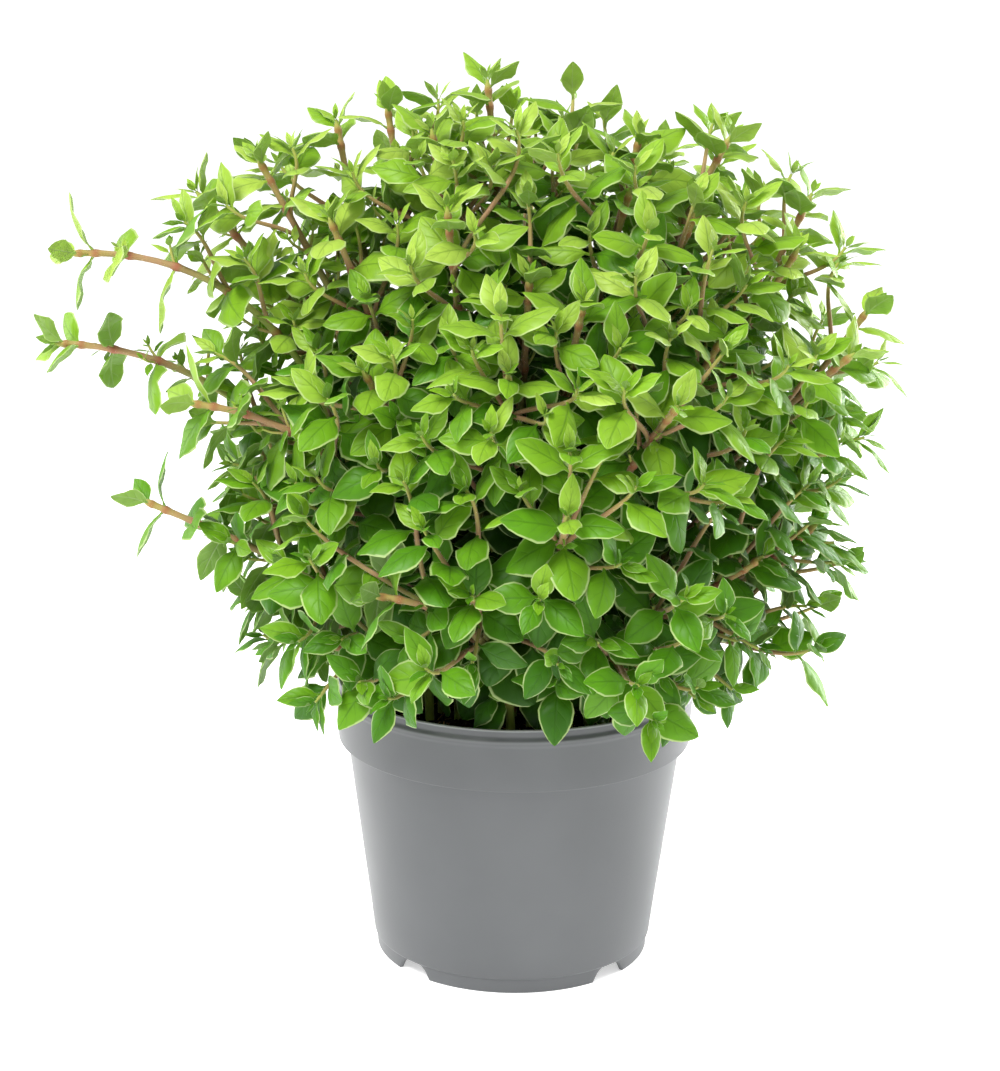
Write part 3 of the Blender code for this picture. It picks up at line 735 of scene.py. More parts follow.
def blade_solid(leaf, grow=0.0, root=0.0):
    """A grown leaf with two pairs of shoulders, folded along its midrib."""
    spread = OUTLINE_SPREAD + 2 * grow / leaf["width"]
    sheet = [blade_point(root, 0, leaf)]
    for u in STATIONS:
        sheet += [blade_point(u, -spread, leaf), blade_point(u, spread, leaf)]
    sheet += [blade_point(1.0, 0, leaf) + Vector((grow, 0, 0))]
    faces = [(0, 1, 5), (0, 5, 2), (1, 3, 5), (2, 5, 4)]
    return plate(sheet, faces, (0, 1, 3, 5, 4, 2), leaf, grow)


def young_blade_solid(leaf, grow=0.0, root=0.0):
    """A young leaf, with one pair of shoulders, folded along its midrib."""
    spread = OUTLINE_SPREAD + 2 * grow / leaf["width"]
    sheet = [blade_point(root, 0, leaf)]
    sheet += [blade_point(YOUNG_STATION, -spread, leaf), blade_point(YOUNG_STATION, spread, leaf)]
    sheet += [blade_point(1.0, 0, leaf) + Vector((grow, 0, 0))]
    return plate(sheet, [(0, 1, 3), (0, 3, 2)], (0, 1, 3, 2), leaf, grow)


def plate(sheet, faces, rim, leaf, grow):
    """Two like sheets a blade's thickness apart, closed round the rim and put in place."""
    half = Vector((0, 0, BLADE / 2 + grow))
    count = len(sheet)
    verts = [leaf["place"] @ (p + half) for p in sheet]
    verts += [leaf["place"] @ (p - half) for p in sheet]
    solid = list(faces)
    solid += [tuple(i + count for i in reversed(f)) for f in faces]
    solid += [(a, a + count, b + count, b) for a, b in zip(rim, rim[1:] + rim[:1])]
    return verts, solid


def leaf_solid(leaf, grow=0.0, root=0.0):
    make = blade_solid if leaf["pair"] else young_blade_solid
    return make(leaf, grow, root)


def turned_solid(profile, sides=POT_SIDES):
    """A turned profile as plain vertices and faces, for the clearance tests only."""
    verts = []
    for r, z in profile:
        for k in range(sides):
            angle = 2 * pi * k / sides
            verts.append((r * cos(angle), r * sin(angle), z))
    return verts, tube_faces(len(profile), sides)


print("few-sided leaves:", [make.__name__ for make in (blade_solid, young_blade_solid)])

# %% [markdown]
# Room is tested in two steps. A ball round each piece rules out nearly all of the others at
# once, and a search tree of faces settles the few that are left.

# %% Room among what stands already
class Thicket:
    """What has been placed so far, with a search tree and a bounding ball for each piece."""

    def __init__(self, most=20000):
        self.trees = []
        self.owners = []
        self.middles = np.zeros((most, 3))
        self.radii = np.zeros(most)

    def add(self, verts, faces, owner):
        middle, radius = bounding_ball(verts)
        self.middles[len(self.trees)] = middle
        self.radii[len(self.trees)] = radius
        self.trees.append(BVHTree.FromPolygons(verts, faces))
        self.owners.append(owner)

    def hits(self, solid, owner, only_same=False):
        verts, faces = solid
        tree = BVHTree.FromPolygons(verts, faces)
        middle, radius = bounding_ball(verts)
        count = len(self.trees)
        far = np.linalg.norm(self.middles[:count] - middle, axis=1)
        for i in np.nonzero(far < self.radii[:count] + radius)[0]:
            if (self.owners[i] == owner) != only_same:
                continue
            if tree.overlap(self.trees[i]):
                return True
        return False


def bounding_ball(verts):
    points = np.array(verts)
    middle = (points.min(axis=0) + points.max(axis=0)) / 2
    return middle, np.linalg.norm(points - middle, axis=1).max()


def pose_leaf(stem, pair, row, hand, draw, spoil):
    """A leaf on one side of the stem; spoil widens the draw and shrinks the leaf."""
    below, size, ratio, lift = row
    point, direction, _ = along(stem["line"], below * MM)
    side = stem["side_at"](below * MM, direction)
    if pair % 2 == 0:
        side = direction.cross(side)
    side = side * hand
    across = direction.cross(side)
    wide = 1 + 0.5 * spoil
    tilt = radians(lift + draw.normal(0, TILT_SPREAD) * wide)
    swing = radians(draw.normal(0, SWING_SPREAD) * wide)
    size = size * MM * (1 - 0.03 * spoil) * draw.uniform(0.9, 1.08) * stem["vigour"]
    flat = side * cos(swing) + across * sin(swing)
    age = (pair + 1) / len(PAIRS)
    ahead = (flat * cos(tilt) + direction * sin(tilt)).normalized()
    ahead = (ahead + Vector((0, 0, YOUNG_RISE - OLD_DROOP * age))).normalized()
    face = direction + Vector((0, 0, SKYWARD)) + point.xy.normalized().to_3d() * OUTWARD
    face = (face - ahead * face.dot(ahead)).normalized()
    roll = radians(draw.normal(0, ROLL_SPREAD) * wide)
    face = Matrix.Rotation(roll, 3, ahead) @ face
    turn = Matrix((ahead, face.cross(ahead), face)).transposed().to_4x4()
    root = flat * stem_side(stem, below * MM) * 0.06
    return {
        "pair": pair,
        "size": size,
        "width": size * ratio * draw.uniform(0.92, 1.08),
        "arch": draw.uniform(0.0, 0.06),
        "droop": draw.uniform(0.02, 0.16) + 0.06 * age,
        "cup": draw.uniform(0.10, 0.42) * (1 - 0.45 * age),
        "place": Matrix.Translation(point + root) @ turn,
    }


def side_finder(stem):
    """The direction square to the stem that its frame has nearest to a mark."""
    def find(mark, direction):
        nearest = min(stem["frames"], key=lambda frame: abs(frame[0] - mark))
        side = nearest[3]
        return (side - direction * side.dot(direction)).normalized()
    return find


def fits(leaf, stem, thicket):
    """Clear of every other stem with its gap, and off its own stem past the petiole."""
    roomy = leaf_solid(leaf, grow=GAP * 1.2)
    if thicket.hits(roomy, stem["name"]):
        return False
    return not thicket.hits(leaf_solid(leaf, root=FREE_FROM), stem["name"], only_same=True)


def packed_pot_profile():
    """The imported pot's plainer profile, for the tests."""
    inner_low = wall_radius(FLOOR_TOP) - WALL
    inner_top = LIP_RADIUS - WALL
    foot_inner = FOOT_RADIUS - FOOT_WALL
    return [
        (0.0, FLOOR_TOP),
        (inner_low, FLOOR_TOP),
        (BODY_TOP_RADIUS - WALL, COLLAR_LOW_HEIGHT + 0.5 * MM),
        (COLLAR_LOW_RADIUS - WALL, COLLAR_LOW_HEIGHT + 2.5 * MM),
        (inner_top, POT_HEIGHT),
        (LIP_RADIUS - 0.4 * MM, POT_HEIGHT),
        (LIP_RADIUS, POT_HEIGHT - 0.5 * MM),
        (LIP_RADIUS, BEAD_HEIGHT + 0.5 * MM),
        (BEAD_RADIUS, BEAD_HEIGHT),
        (BEAD_RADIUS, BEAD_HEIGHT - 1.0 * MM),
        (COLLAR_LOW_RADIUS, COLLAR_LOW_HEIGHT),
        (BODY_TOP_RADIUS, COLLAR_LOW_HEIGHT - 0.4 * MM),
        (BODY_LOW_RADIUS, FOOT_HEIGHT + 1.2 * MM),
        (BODY_LOW_RADIUS - 0.5 * MM, FOOT_HEIGHT),
        (FOOT_RADIUS, FOOT_HEIGHT - 0.3 * MM),
        (FOOT_RADIUS - 0.3 * MM, 0.0),
        (foot_inner, 0.0),
        (foot_inner - 0.4 * MM, FOOT_HEIGHT),
        (PAD_RADIUS + 0.8 * MM, FOOT_HEIGHT),
        (PAD_RADIUS, 0.0),
        (0.0, 0.0),
    ]


print("room test ready")

# %% [markdown]
# With its line, its room test and its table of pairs, the plant can grow. The draws are taken
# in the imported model's order: first a twist and a vigour for each stem, then the leaves, pair
# by pair from the tips down.

# %% Grow the stems and their packed leaves
def grow_stems():
    """Lay out every stem, then its leaves from the tips down, each clear of the rest."""
    draw = np.random.default_rng(SEED)
    stems = []
    for i, (row, line) in enumerate(zip(TIPS, LINES)):
        stem = {
            "name": f"leafy_stem_{i + 1:02d}",
            "line": line,
            "length": along(line, 0.0)[2],
            "pairs": row[3],
            "twist": draw.uniform(0, pi / 2),
            "vigour": draw.uniform(0.92, 1.06),
            "leaves": [],
        }
        stem["frames"] = stem_frames(stem)
        stem["side_at"] = side_finder(stem)
        stems.append(stem)
    thicket = Thicket()
    thicket.add(*turned_solid(packed_pot_profile()), "pot")
    soil_disc = [(0.0, SOIL_TOP + SOIL_LUMP), (SOIL_TEST_RADIUS, SOIL_TOP + SOIL_LUMP)]
    thicket.add(*turned_solid(soil_disc), "soil")
    for stem in stems:
        thicket.add(*stem_solid(stem), stem["name"])
    place_leaves(stems, thicket, draw)
    return stems, thicket


def place_leaves(stems, thicket, draw):
    """Try each leaf until it is clear of what stands already; one with no room is left out."""
    for pair in range(len(PAIRS)):
        for stem in stems:
            if pair >= stem["pairs"]:
                continue
            for hand in (1, -1):
                for attempt in range(LEAF_TRIES):
                    leaf = pose_leaf(stem, pair, PAIRS[pair], hand, draw, attempt / 3)
                    if fits(leaf, stem, thicket):
                        thicket.add(*leaf_solid(leaf), stem["name"])
                        stem["leaves"].append(leaf)
                        break


STEMS, THICKET = grow_stems()
print("leaves that the packed model has:", sum(len(stem["leaves"]) for stem in STEMS))

# %% [markdown]
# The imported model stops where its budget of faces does. The living plant goes on: a pair of
# buds closes each tip, branches leave the stems for more tips all over the dome, older pairs
# stand further down, and in the corner above many a leaf a side shoot starts. A shoot near the
# tip is a tuft of tiny leaves. One further down has had time to grow out. Each new leaf is
# tested for room like the first ones.

# %% Sizes of the further growth
GROWTH_SEED = 23
BUDS = [(1.4, 8.5, 0.44, 62), (0.3, 5.0, 0.42, 74)]
OLD_PAIRS = [
    (93.0, 17.0, 0.80, -10),
    (114.0, 15.5, 0.80, -12),
    (135.0, 14.0, 0.78, -12),
    (156.0, 12.5, 0.78, -12),
]
SHOOT_PAIRS = [
    (0.3, 0.28, 0.44, 70),
    (1.2, 0.45, 0.46, 55),
    (3.5, 0.62, 0.52, 38),
    (8.0, 0.78, 0.60, 20),
    (14.0, 0.90, 0.68, 8),
    (21.0, 1.00, 0.74, 0),
    (29.0, 1.00, 0.78, -4),
    (38.0, 1.00, 0.80, -8),
]
SHOOT_LEAF = 17.0
SHOOT_SHARE = 0.34
SHOOT_LEAST = 3.0 * MM
SHOOT_MOST = 40.0 * MM
SHOOT_TRIES = 3
SHOOT_POINTS = 9
SHOOT_SIDE = 1.5 * MM
SHOOT_STRAY = 12.0 * MM
BRANCH_MARKS = (22.0, 30.0, 38.0, 46.0, 54.0, 62.0, 70.0, 78.0, 87.0, 96.0, 106.0, 118.0, 130.0)
BRANCH_SIDE = 1.4 * MM
BRANCH_TRIES = 9
CROWN_SHARE = 1.45
CROWN_LOWEST = 108.0 * MM
CROWN_STRAY = 17.0 * MM
SHOOT_VARIES = (0.55, 1.1)
SHOOT_LEAN = (34, 52)
SHOOT_LIFT = 0.35
SHOOT_END_RISE = 0.5
SHOOT_START_PULL = 0.4
SHOOT_END_PULL = 0.35
SHOOT_FROM = 4 * MM
STRAY_SPREAD = 0.15
CROWN_JITTER = 2.5 * MM
CROWN_UPRIGHT = 0.75
MORE_TRIES = 8
MORE_GAP = 0.05 * MM
MORE_FREE_FROM = 0.3
FEW_SIDED_BELOW = 11 * MM
FORK_END = 20 * MM
BRANCH_LEAST_BEND = 0.1
BRANCH_BEND_COST = 70 * MM
BRANCH_PULL = 0.35

# Shells of the dome that get more tips: points tried, least and most share of the dome's
# radius, and spacing in mm
CROWN_SHELLS = [(900, 0.84, 1.0, 12.0), (500, 0.62, 0.84, 15.0)]

# The dome that the bush fills, as an ellipsoid
DOME_CENTRE = Vector((10.0, 0.0, 165.0)) * MM
DOME_RADII = Vector((106.0, 103.0, 127.0)) * MM

# Tips for branches, each reached from a stem near it if one gets through: x, y, z in mm and
# the lift of the tip in degrees
BRANCH_TIPS = [
    # the crown
    (-79, 15, 265, 62),
    (-34, -15, 279, 80),
    (-18, -25, 283, 78),
    (-3, 20, 285, 82),
    (10, -30, 273, 74),
    (19, 5, 278, 80),
    (47, 20, 270, 72),
    (34, -30, 268, 70),
    (106, 5, 241, 60),
    (91, -20, 225, 55),
    (-61, 10, 282, 78),
    (-27, 10, 287, 82),
    (-72, -15, 273, 60),
    (-86, 5, 268, 50),
    (-104, -15, 262, 35),
    (-92, -25, 256, 45),
    (-106, -20, 250, 30),
    (-86, -30, 240, 45),
    (-100, -25, 234, 30),
    (28, 0, 280, 82),
    (42, 0, 282, 78),
    (62, 10, 280, 72),
    (88, 10, 264, 62),
    (100, 5, 254, 55),
    (104, 5, 236, 50),
    (112, 0, 224, 40),
    (117, -5, 205, 30),
    # the front
    (11, -80, 227, 50),
    (82, -30, 211, 50),
    (77, -40, 188, 45),
    (64, -60, 170, 40),
    (-40, -60, 207, 45),
    (-34, -80, 181, 40),
    (-55, -55, 164, 35),
    (31, -90, 159, 30),
    (7, -95, 149, 20),
    (-29, -75, 156, 30),
    (25, -85, 133, 5),
    (13, -88, 127, -5),
    (42, -80, 128, 0),
    (-13, -78, 124, -5),
    (-32, -72, 128, 0),
    # the left, down to the rim
    (-96, -30, 210, 20),
    (-99, -30, 188, 10),
    (-92, -20, 172, 5),
    (-94, -25, 134, -20),
    (-79, -30, 114, -25),
    (-72, -45, 104, -40),
    (-63, -55, 103, -40),
    (-69, -50, 173, 30),
    (-90, -30, 213, 40),
    (-94, -25, 228, 40),
    (-89, -20, 162, 30),
    (-88, -15, 139, 5),
    (-84, -15, 125, -10),
    (-80, -28, 116, -20),
    (-69, -45, 120, -15),
    (-54, -62, 126, -10),
    (-72, -40, 106, -35),
    (-62, -55, 106, -35),
    # the right, down to the rim
    (113, -10, 181, 15),
    (104, -15, 147, 5),
    (71, -55, 136, 25),
    (54, -65, 144, 25),
    (110, -5, 177, 40),
    (103, 0, 150, 25),
    (106, -10, 139, 10),
    (96, -15, 125, -5),
    (88, -20, 111, -20),
    (78, -40, 118, -15),
    (70, -52, 124, -5),
    (70, -40, 104, -35),
    (57, -58, 107, -30),
]
print("side shoots may be", SHOOT_LEAST / MM, "to", SHOOT_MOST / MM, "mm long")

# %% Grow shoots, branches and the rest of the leaves
def shoot_line(start, out, end):
    """A short line that leaves its stem along out and reaches end curving upwards."""
    start, end = Vector(start), Vector(end)
    span = (end - start).length
    rising = ((end - start).normalized() + Vector((0, 0, SHOOT_END_RISE))).normalized()
    inward = end - rising * span * SHOOT_END_PULL
    corners = [np.array(p) for p in (start, start + out * span * SHOOT_START_PULL, inward, end)]
    return bezier(*corners, SHOOT_POINTS)


def carried_frame(line, side):
    """The side direction at each point of a line, carried along without a twist."""
    sides = []
    for i in range(len(line)):
        ahead = Vector(line[min(i + 1, len(line) - 1)] - line[max(i - 1, 0)]).normalized()
        side = (side - ahead * side.dot(ahead)).normalized()
        sides.append(side.copy())
    return sides


def new_shoot(stem, line, side, width, vigour):
    """A side axis with the same fields as a stem, so that the same rules serve it."""
    length = along(line, 0.0)[2]
    sides = carried_frame(line, side)

    def side_at(mark, direction):
        place = (1 - min(mark / length, 1.0)) * (len(line) - 1)
        near = sides[int(round(place))]
        return (near - direction * near.dot(direction)).normalized()

    return {"name": stem["name"], "line": line, "length": length, "side_at": side_at,
            "vigour": vigour, "width": width, "leaves": []}


def bar(line, width, skip):
    """A square bar along a shoot, past the part that is buried in its stem."""
    verts = []
    for point in line[skip:]:
        for u, v in ((1, 1), (-1, 1), (-1, -1), (1, -1)):
            verts.append(Vector(point) + Vector((u, v, 0)) * width / 2)
    return verts, tube_faces(len(line) - skip, 4)


def try_leaf(stem, axis, pair, row, hand, draw):
    for attempt in range(MORE_TRIES):
        leaf = pose_leaf(axis, pair, row, hand, draw, attempt / 2)
        leaf["pair"] = 0 if leaf["size"] < FEW_SIDED_BELOW else 3
        if THICKET.hits(leaf_solid(leaf, grow=MORE_GAP), stem["name"]):
            continue
        if THICKET.hits(leaf_solid(leaf, root=MORE_FREE_FROM), stem["name"], only_same=True):
            continue
        THICKET.add(*leaf_solid(leaf), stem["name"])
        return leaf
    return None


def grow_old_pairs(draw):
    """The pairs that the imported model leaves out, from its last one down."""
    count = 0
    rows = PAIRS + OLD_PAIRS
    for pair in range(3, len(rows)):
        for stem in STEMS:
            reach = rows[pair][0] * MM
            if pair < stem["pairs"] or reach > stem["length"] - 10 * MM:
                continue
            for hand in (1, -1):
                leaf = try_leaf(stem, stem, pair, rows[pair], hand, draw)
                if leaf:
                    leaf["age"] = 1.0
                    stem["more"].append(leaf)
                    count += 1
    return count


def grow_shoot(stem, mark, pair, hand, draw, foliage):
    """A side shoot above one leaf, if there is room for it and leaves are near its end."""
    point, direction, _ = along(stem["line"], mark)
    side = stem["side_at"](mark, direction)
    if pair % 2 == 0:
        side = direction.cross(side)
    side = side * hand
    reach = clamped(SHOOT_SHARE * (mark - SHOOT_FROM), SHOOT_LEAST, SHOOT_MOST)
    reach *= draw.uniform(*SHOOT_VARIES)
    lean = radians(draw.uniform(*SHOOT_LEAN))
    out = (direction * cos(lean) + side * sin(lean)).normalized()
    swing = Vector(draw.normal(0, STRAY_SPREAD, 3))
    end = point + (out + Vector((0, 0, SHOOT_LIFT)) + swing).normalized() * reach
    if foliage.find(end)[2] > SHOOT_STRAY:
        return None
    line = shoot_line(point, out, end)
    width = SHOOT_SIDE * min(1.0, 0.65 + reach / (60 * MM))
    skip = 2 if reach > 8 * MM else 4
    if THICKET.hits(bar(line, width, skip), stem["name"]):
        return None
    if THICKET.hits(bar(line, width, skip + 1), stem["name"], only_same=True):
        return None
    vigour = clamped(0.48 + reach / (60 * MM), 0.5, 0.95) * stem["vigour"]
    return new_shoot(stem, line, direction.cross(side), width, vigour)


def leaf_shoot(stem, shoot, rows, draw):
    """Leaves on a shoot, smallest at its tip; returns how many found room."""
    count = 0
    for pair, (below, size, ratio, lift) in enumerate(rows):
        if below * MM > shoot["length"] - 1.2 * MM and pair > 1:
            break
        for hand in (1, -1):
            leaf = try_leaf(stem, shoot, pair, (below, size, ratio, lift), hand, draw)
            if leaf:
                leaf["age"] = min(pair / 8, 1.0)
                shoot["leaves"].append(leaf)
                count += 1
    return count


def crown_tips(shell, draw, foliage, tips):
    """More tips, evenly spread over the dome at uneven depth, wherever leaves are near."""
    count, near, far, spacing = shell
    rows = []
    for i in range(count):
        z = 1 - CROWN_SHARE * (i + 0.5) / count
        angle = i * pi * (3 - sqrt(5))
        unit = Vector((sqrt(1 - z * z) * cos(angle), sqrt(1 - z * z) * sin(angle), z))
        place = DOME_CENTRE + unit * draw.uniform(near, far) * DOME_RADII
        place += Vector(draw.normal(0, CROWN_JITTER, 3))
        if place.z < CROWN_LOWEST or foliage.find(place)[2] > CROWN_STRAY:
            continue
        if min((place - tip).length for tip in tips) < spacing * MM:
            continue
        tips.append(place)
        end = unit * CROWN_UPRIGHT + Vector((0, 0, CROWN_UPRIGHT))
        rows.append((place, (end + Vector(draw.normal(0, STRAY_SPREAD, 3))).normalized()))
    return rows


def listed_tips():
    rows = []
    for x, y, z, lift in BRANCH_TIPS:
        tip = Vector((x, y, z)) * MM
        flat = Vector((tip.x, tip.y, 0)).normalized() * cos(radians(lift))
        rows.append((tip, flat + Vector((0, 0, sin(radians(lift))))))
    return rows


def branch_choices(tip):
    """Places on the stems where a branch to a tip could start, the best first."""
    choices = []
    for stem in STEMS:
        for point, direction in stem["forks"]:
            away = tip - point
            bend = away.normalized().dot(direction)
            if bend > BRANCH_LEAST_BEND:
                cost = away.length + (1 - bend) * BRANCH_BEND_COST
                choices.append((cost, stem["name"], stem, point, direction))
    choices.sort(key=lambda choice: choice[:2])
    return choices[:BRANCH_TRIES]


def grow_branches(rows, draw):
    """A branch to each tip from a stem near it, wherever one gets through."""
    count = 0
    for tip, end in rows:
        for _, _, stem, point, direction in branch_choices(tip):
            span = (tip - point).length
            start = (direction * 0.7 + (tip - point).normalized()).normalized()
            inward = tip - end * span * BRANCH_PULL
            outward = point + start * span * BRANCH_PULL
            corners = [np.array(p) for p in (point, outward, inward, tip)]
            line = bezier(*corners, 2 * SHOOT_POINTS)
            solid = bar(line, BRANCH_SIDE, 2)
            if THICKET.hits(solid, stem["name"]) or THICKET.hits(
                    bar(line, BRANCH_SIDE, 4), stem["name"], only_same=True):
                continue
            side = direction.cross(tip - point).normalized()
            shoot = new_shoot(stem, line, side, BRANCH_SIDE, draw.uniform(0.86, 1.0))
            THICKET.add(*solid, stem["name"])
            stem["shoots"].append(shoot)
            leaf_shoot(stem, shoot, BUDS + PAIRS, draw)
            count += 1
            break
    return count


def all_leaves(stem):
    """A stem's packed leaves, its further ones and those of its shoots."""
    leaves = stem["leaves"] + stem["more"]
    for shoot in stem["shoots"]:
        leaves = leaves + shoot["leaves"]
    return leaves


def leaf_tree():
    """A search tree of where all leaves stand so far."""
    places = []
    for stem in STEMS:
        places += [leaf["place"] @ Vector((leaf["size"] * 0.6, 0, 0)) for leaf in all_leaves(stem)]
    tree = KDTree(len(places))
    for i, place in enumerate(places):
        tree.insert(place, i)
    tree.balance()
    return tree


def grow_further():
    draw = np.random.default_rng(GROWTH_SEED)
    for stem in STEMS:
        stem["more"] = []
        stem["shoots"] = []
        marks = [mark * MM for mark in BRANCH_MARKS if mark * MM < stem["length"] - FORK_END]
        stem["forks"] = [along(stem["line"], mark)[:2] for mark in marks]
        for k, row in enumerate(reversed(BUDS)):
            for hand in (1, -1):
                leaf = try_leaf(stem, stem, k + 1, row, hand, draw)
                if leaf:
                    leaf["age"] = 0.0
                    stem["more"].append(leaf)
    listed = listed_tips()
    counts = {"listed branches": grow_branches(listed, draw)}
    tips = [row[0] for row in TIPS] + [row[0] for row in listed]
    foliage = leaf_tree()
    for number, shell in enumerate(CROWN_SHELLS):
        rows = crown_tips(shell, draw, foliage, tips)
        counts[f"shell {number}"] = (len(rows), grow_branches(rows, draw))
    counts["old leaves"] = grow_old_pairs(draw)
    foliage = leaf_tree()
    rows = PAIRS + OLD_PAIRS
    shoot_rows = [(row[0], row[1] * SHOOT_LEAF, row[2], row[3]) for row in SHOOT_PAIRS]
    for pair in range(1, len(rows)):
        for stem in STEMS:
            mark = rows[pair][0] * MM
            if mark > stem["length"] - 12 * MM:
                continue
            for hand in (1, -1):
                for _ in range(SHOOT_TRIES):
                    shoot = grow_shoot(stem, mark, pair, hand, draw, foliage)
                    if shoot and leaf_shoot(stem, shoot, shoot_rows, draw):
                        if shoot["length"] > 5 * MM:
                            THICKET.add(*bar(shoot["line"], shoot["width"], 1), stem["name"])
                        stem["shoots"].append(shoot)
                        break
    counts["shoots"] = sum(len(stem["shoots"]) for stem in STEMS)
    return counts


print("further growth:", grow_further())

# %% [markdown]
# One leaf is a thin closed sheet folded along its midrib, on a petiole as thick as a wire. A
# grid of five by ten points gives it its outline, fold, arch and wavy margin, in about sixty
# faces, because the shapes are repeated some thousands of times. Each face corner keeps where
# it lies on the blade: how far along, how far across, and on which side. The leaf's material
# draws its veins from those three numbers.

# %% Leaf shapes
LEAF_ROWS = (0.0, 0.10, 0.15, 0.22, 0.33, 0.47, 0.62, 0.76, 0.88, 0.96)
LEAF_COLUMNS = (-1.0, -0.55, 0.0, 0.55, 1.0)
SMALL_ROWS = (0.0, 0.14, 0.28, 0.48, 0.72)
SMALL_COLUMNS = (-1.0, 0.0, 1.0)
BACK_COLUMNS = (-1.0, 0.0, 1.0)
HALF_THICK = 0.010
MARGIN_ROLL = 0.34
PETIOLE_HALF = 0.028
PETIOLE_THICK = 0.022
SMALL_SIZE = 8.5 * MM
SHAPE_SEED = 5


def fine_half_width(u, ratio):
    """Half the width of a leaf of unit length, from its petiole to its tip."""
    if u <= PETIOLE_SHARE:
        return PETIOLE_HALF
    t = (u - PETIOLE_SHARE) / (1 - PETIOLE_SHARE)
    broad = (ratio - 0.44) / 0.36
    blade = sin(pi * t ** (0.80 - 0.06 * broad)) ** (0.93 - 0.27 * broad)
    return max(ratio / 2 * blade, PETIOLE_HALF * (1 - t) ** 0.5)


def leaf_place(u, v, kind):
    """A point of a leaf's upper face: folded at the midrib, rolled down at the margin."""
    out = fine_half_width(u, kind["ratio"]) * v if u < 1 else 0.0
    fold = sqrt(out * out + 0.0004) - sqrt(0.0004)
    z = kind["arch"] * sin(pi * u**0.9) - kind["droop"] * u**2.2
    z += kind["cup"] * fold * (1 - 0.45 * u) - MARGIN_ROLL * abs(out) * abs(v) ** 3
    z += kind["wave"] * v * v * abs(out) * sin(2 * pi * (1.7 * u + kind["turn"] + 0.3 * (v > 0)))
    y = out * sqrt(max(1 - kind["cup"] ** 2, 0.2)) + kind["bend"] * u * u
    twist = kind["twist"] * u
    return Vector((u, y * cos(twist) - z * sin(twist) * 0.3, z + y * sin(twist)))


def leaf_shape(name, kind, rows, columns):
    """A closed leaf of unit length as a mesh, with the place on the blade at each corner."""
    verts = []
    top, low = {}, {}
    for r, u in enumerate(rows):
        half = PETIOLE_THICK if u < PETIOLE_SHARE else HALF_THICK
        for v in columns:
            point = leaf_place(u, v, kind)
            if abs(v) == 1.0:
                top[r, v] = low[r, v] = len(verts)
                verts.append(point)
                continue
            top[r, v] = len(verts)
            verts.append(point + Vector((0, 0, half)))
            if v in BACK_COLUMNS:
                low[r, v] = len(verts)
                verts.append(point - Vector((0, 0, half)))
    tip = len(verts)
    verts.append(leaf_place(1.0, 0.0, kind))
    faces, corners = [], []
    last = len(rows) - 1
    for side, sheet, across in ((0.0, top, columns), (1.0, low, BACK_COLUMNS)):
        for left, right in zip(across, across[1:]):
            loops = [[(r, left), (r + 1, left), (r + 1, right), (r, right)] for r in range(last)]
            loops.append([(last, left), None, (last, right)])
            for loop in loops:
                if side:
                    loop.reverse()
                faces.append([tip if spot is None else sheet[spot] for spot in loop])
                at_tip = (1.0, (left + right) / 2, side)
                corners.append([
                    at_tip if spot is None else (rows[spot[0]], spot[1], side) for spot in loop])
    cap = [top[0, v] for v in columns] + [low[0, v] for v in BACK_COLUMNS[-2:0:-1]]
    faces.append(cap)
    corners.append([(0.0, 0.0, 0.0)] * len(cap))
    mesh = bpy.data.meshes.new(name)
    mesh.from_pydata(verts, [], faces)
    spots = mesh.attributes.new("blade", "FLOAT_VECTOR", "CORNER")
    spots.data.foreach_set("vector", [x for face in corners for spot in face for x in spot])
    return bpy.data.objects.new(name, mesh)


def leaf_kinds():
    """Every leaf shape: six ages in four bends, then three young ones in two."""
    draw = np.random.default_rng(SHAPE_SEED)
    kinds = []
    for pair, row in enumerate(PAIRS):
        age = (pair + 1) / len(PAIRS)
        for droop in (0.055, 0.125):
            for cup in (0.18, 0.42):
                kinds.append({"ratio": row[2], "droop": droop + 0.06 * age,
                              "cup": cup * (1 - 0.45 * age)})
    for ratio in (0.46, 0.58, 0.72):
        for droop, cup in ((0.08, 0.36), (0.20, 0.22)):
            kinds.append({"ratio": ratio, "droop": droop, "cup": cup, "small": True})
    for kind in kinds:
        kind["arch"] = draw.uniform(0.03, 0.075)
        kind["wave"] = draw.uniform(0.10, 0.24)
        kind["turn"] = draw.uniform(0, 1)
        kind["bend"] = draw.uniform(-0.05, 0.05)
        kind["twist"] = draw.uniform(-0.12, 0.12)
    return kinds


def nearest_kind(leaf):
    """The shape that comes closest to a leaf's drawn outline, droop and fold."""
    ratio = leaf["width"] / leaf["size"]
    small = leaf["size"] < SMALL_SIZE

    def off(i):
        kind = KINDS[i]
        return (abs(kind["ratio"] - ratio) * 4 + abs(kind["droop"] - leaf["droop"]) * 6
                + abs(kind["cup"] - leaf["cup"]) * 2 + 9 * (("small" in kind) != small))

    return min(range(len(KINDS)), key=off)


KINDS = leaf_kinds()
LEAVES = new_group("leaf_shapes")
for i, kind in enumerate(KINDS):
    rows, columns = (SMALL_ROWS, SMALL_COLUMNS) if "small" in kind else (LEAF_ROWS, LEAF_COLUMNS)
    LEAVES.objects.link(leaf_shape(f"leaf_{i:02d}", kind, rows, columns))

# %% [markdown]
# Leaf colour follows age, and painted light and shade on top of it. The young leaves at the
# outside of the bush are a bright yellow-green, and older ones further in are deeper. Leaves deep
# in the bush and low down are also painted darker, as painted shade, and those on the outside at
# the top lighter, as painted light. The share of painted light is worked out from where a leaf
# stands in the dome.

# %% Painted light and shade on each leaf
PAINTED_LIGHT_LOW = 95 * MM
PAINTED_LIGHT_RISE = 150 * MM
PAINTED_LIGHT_DEPTH = 0.45
PAINTED_LIGHT_AT_RIM = 0.40


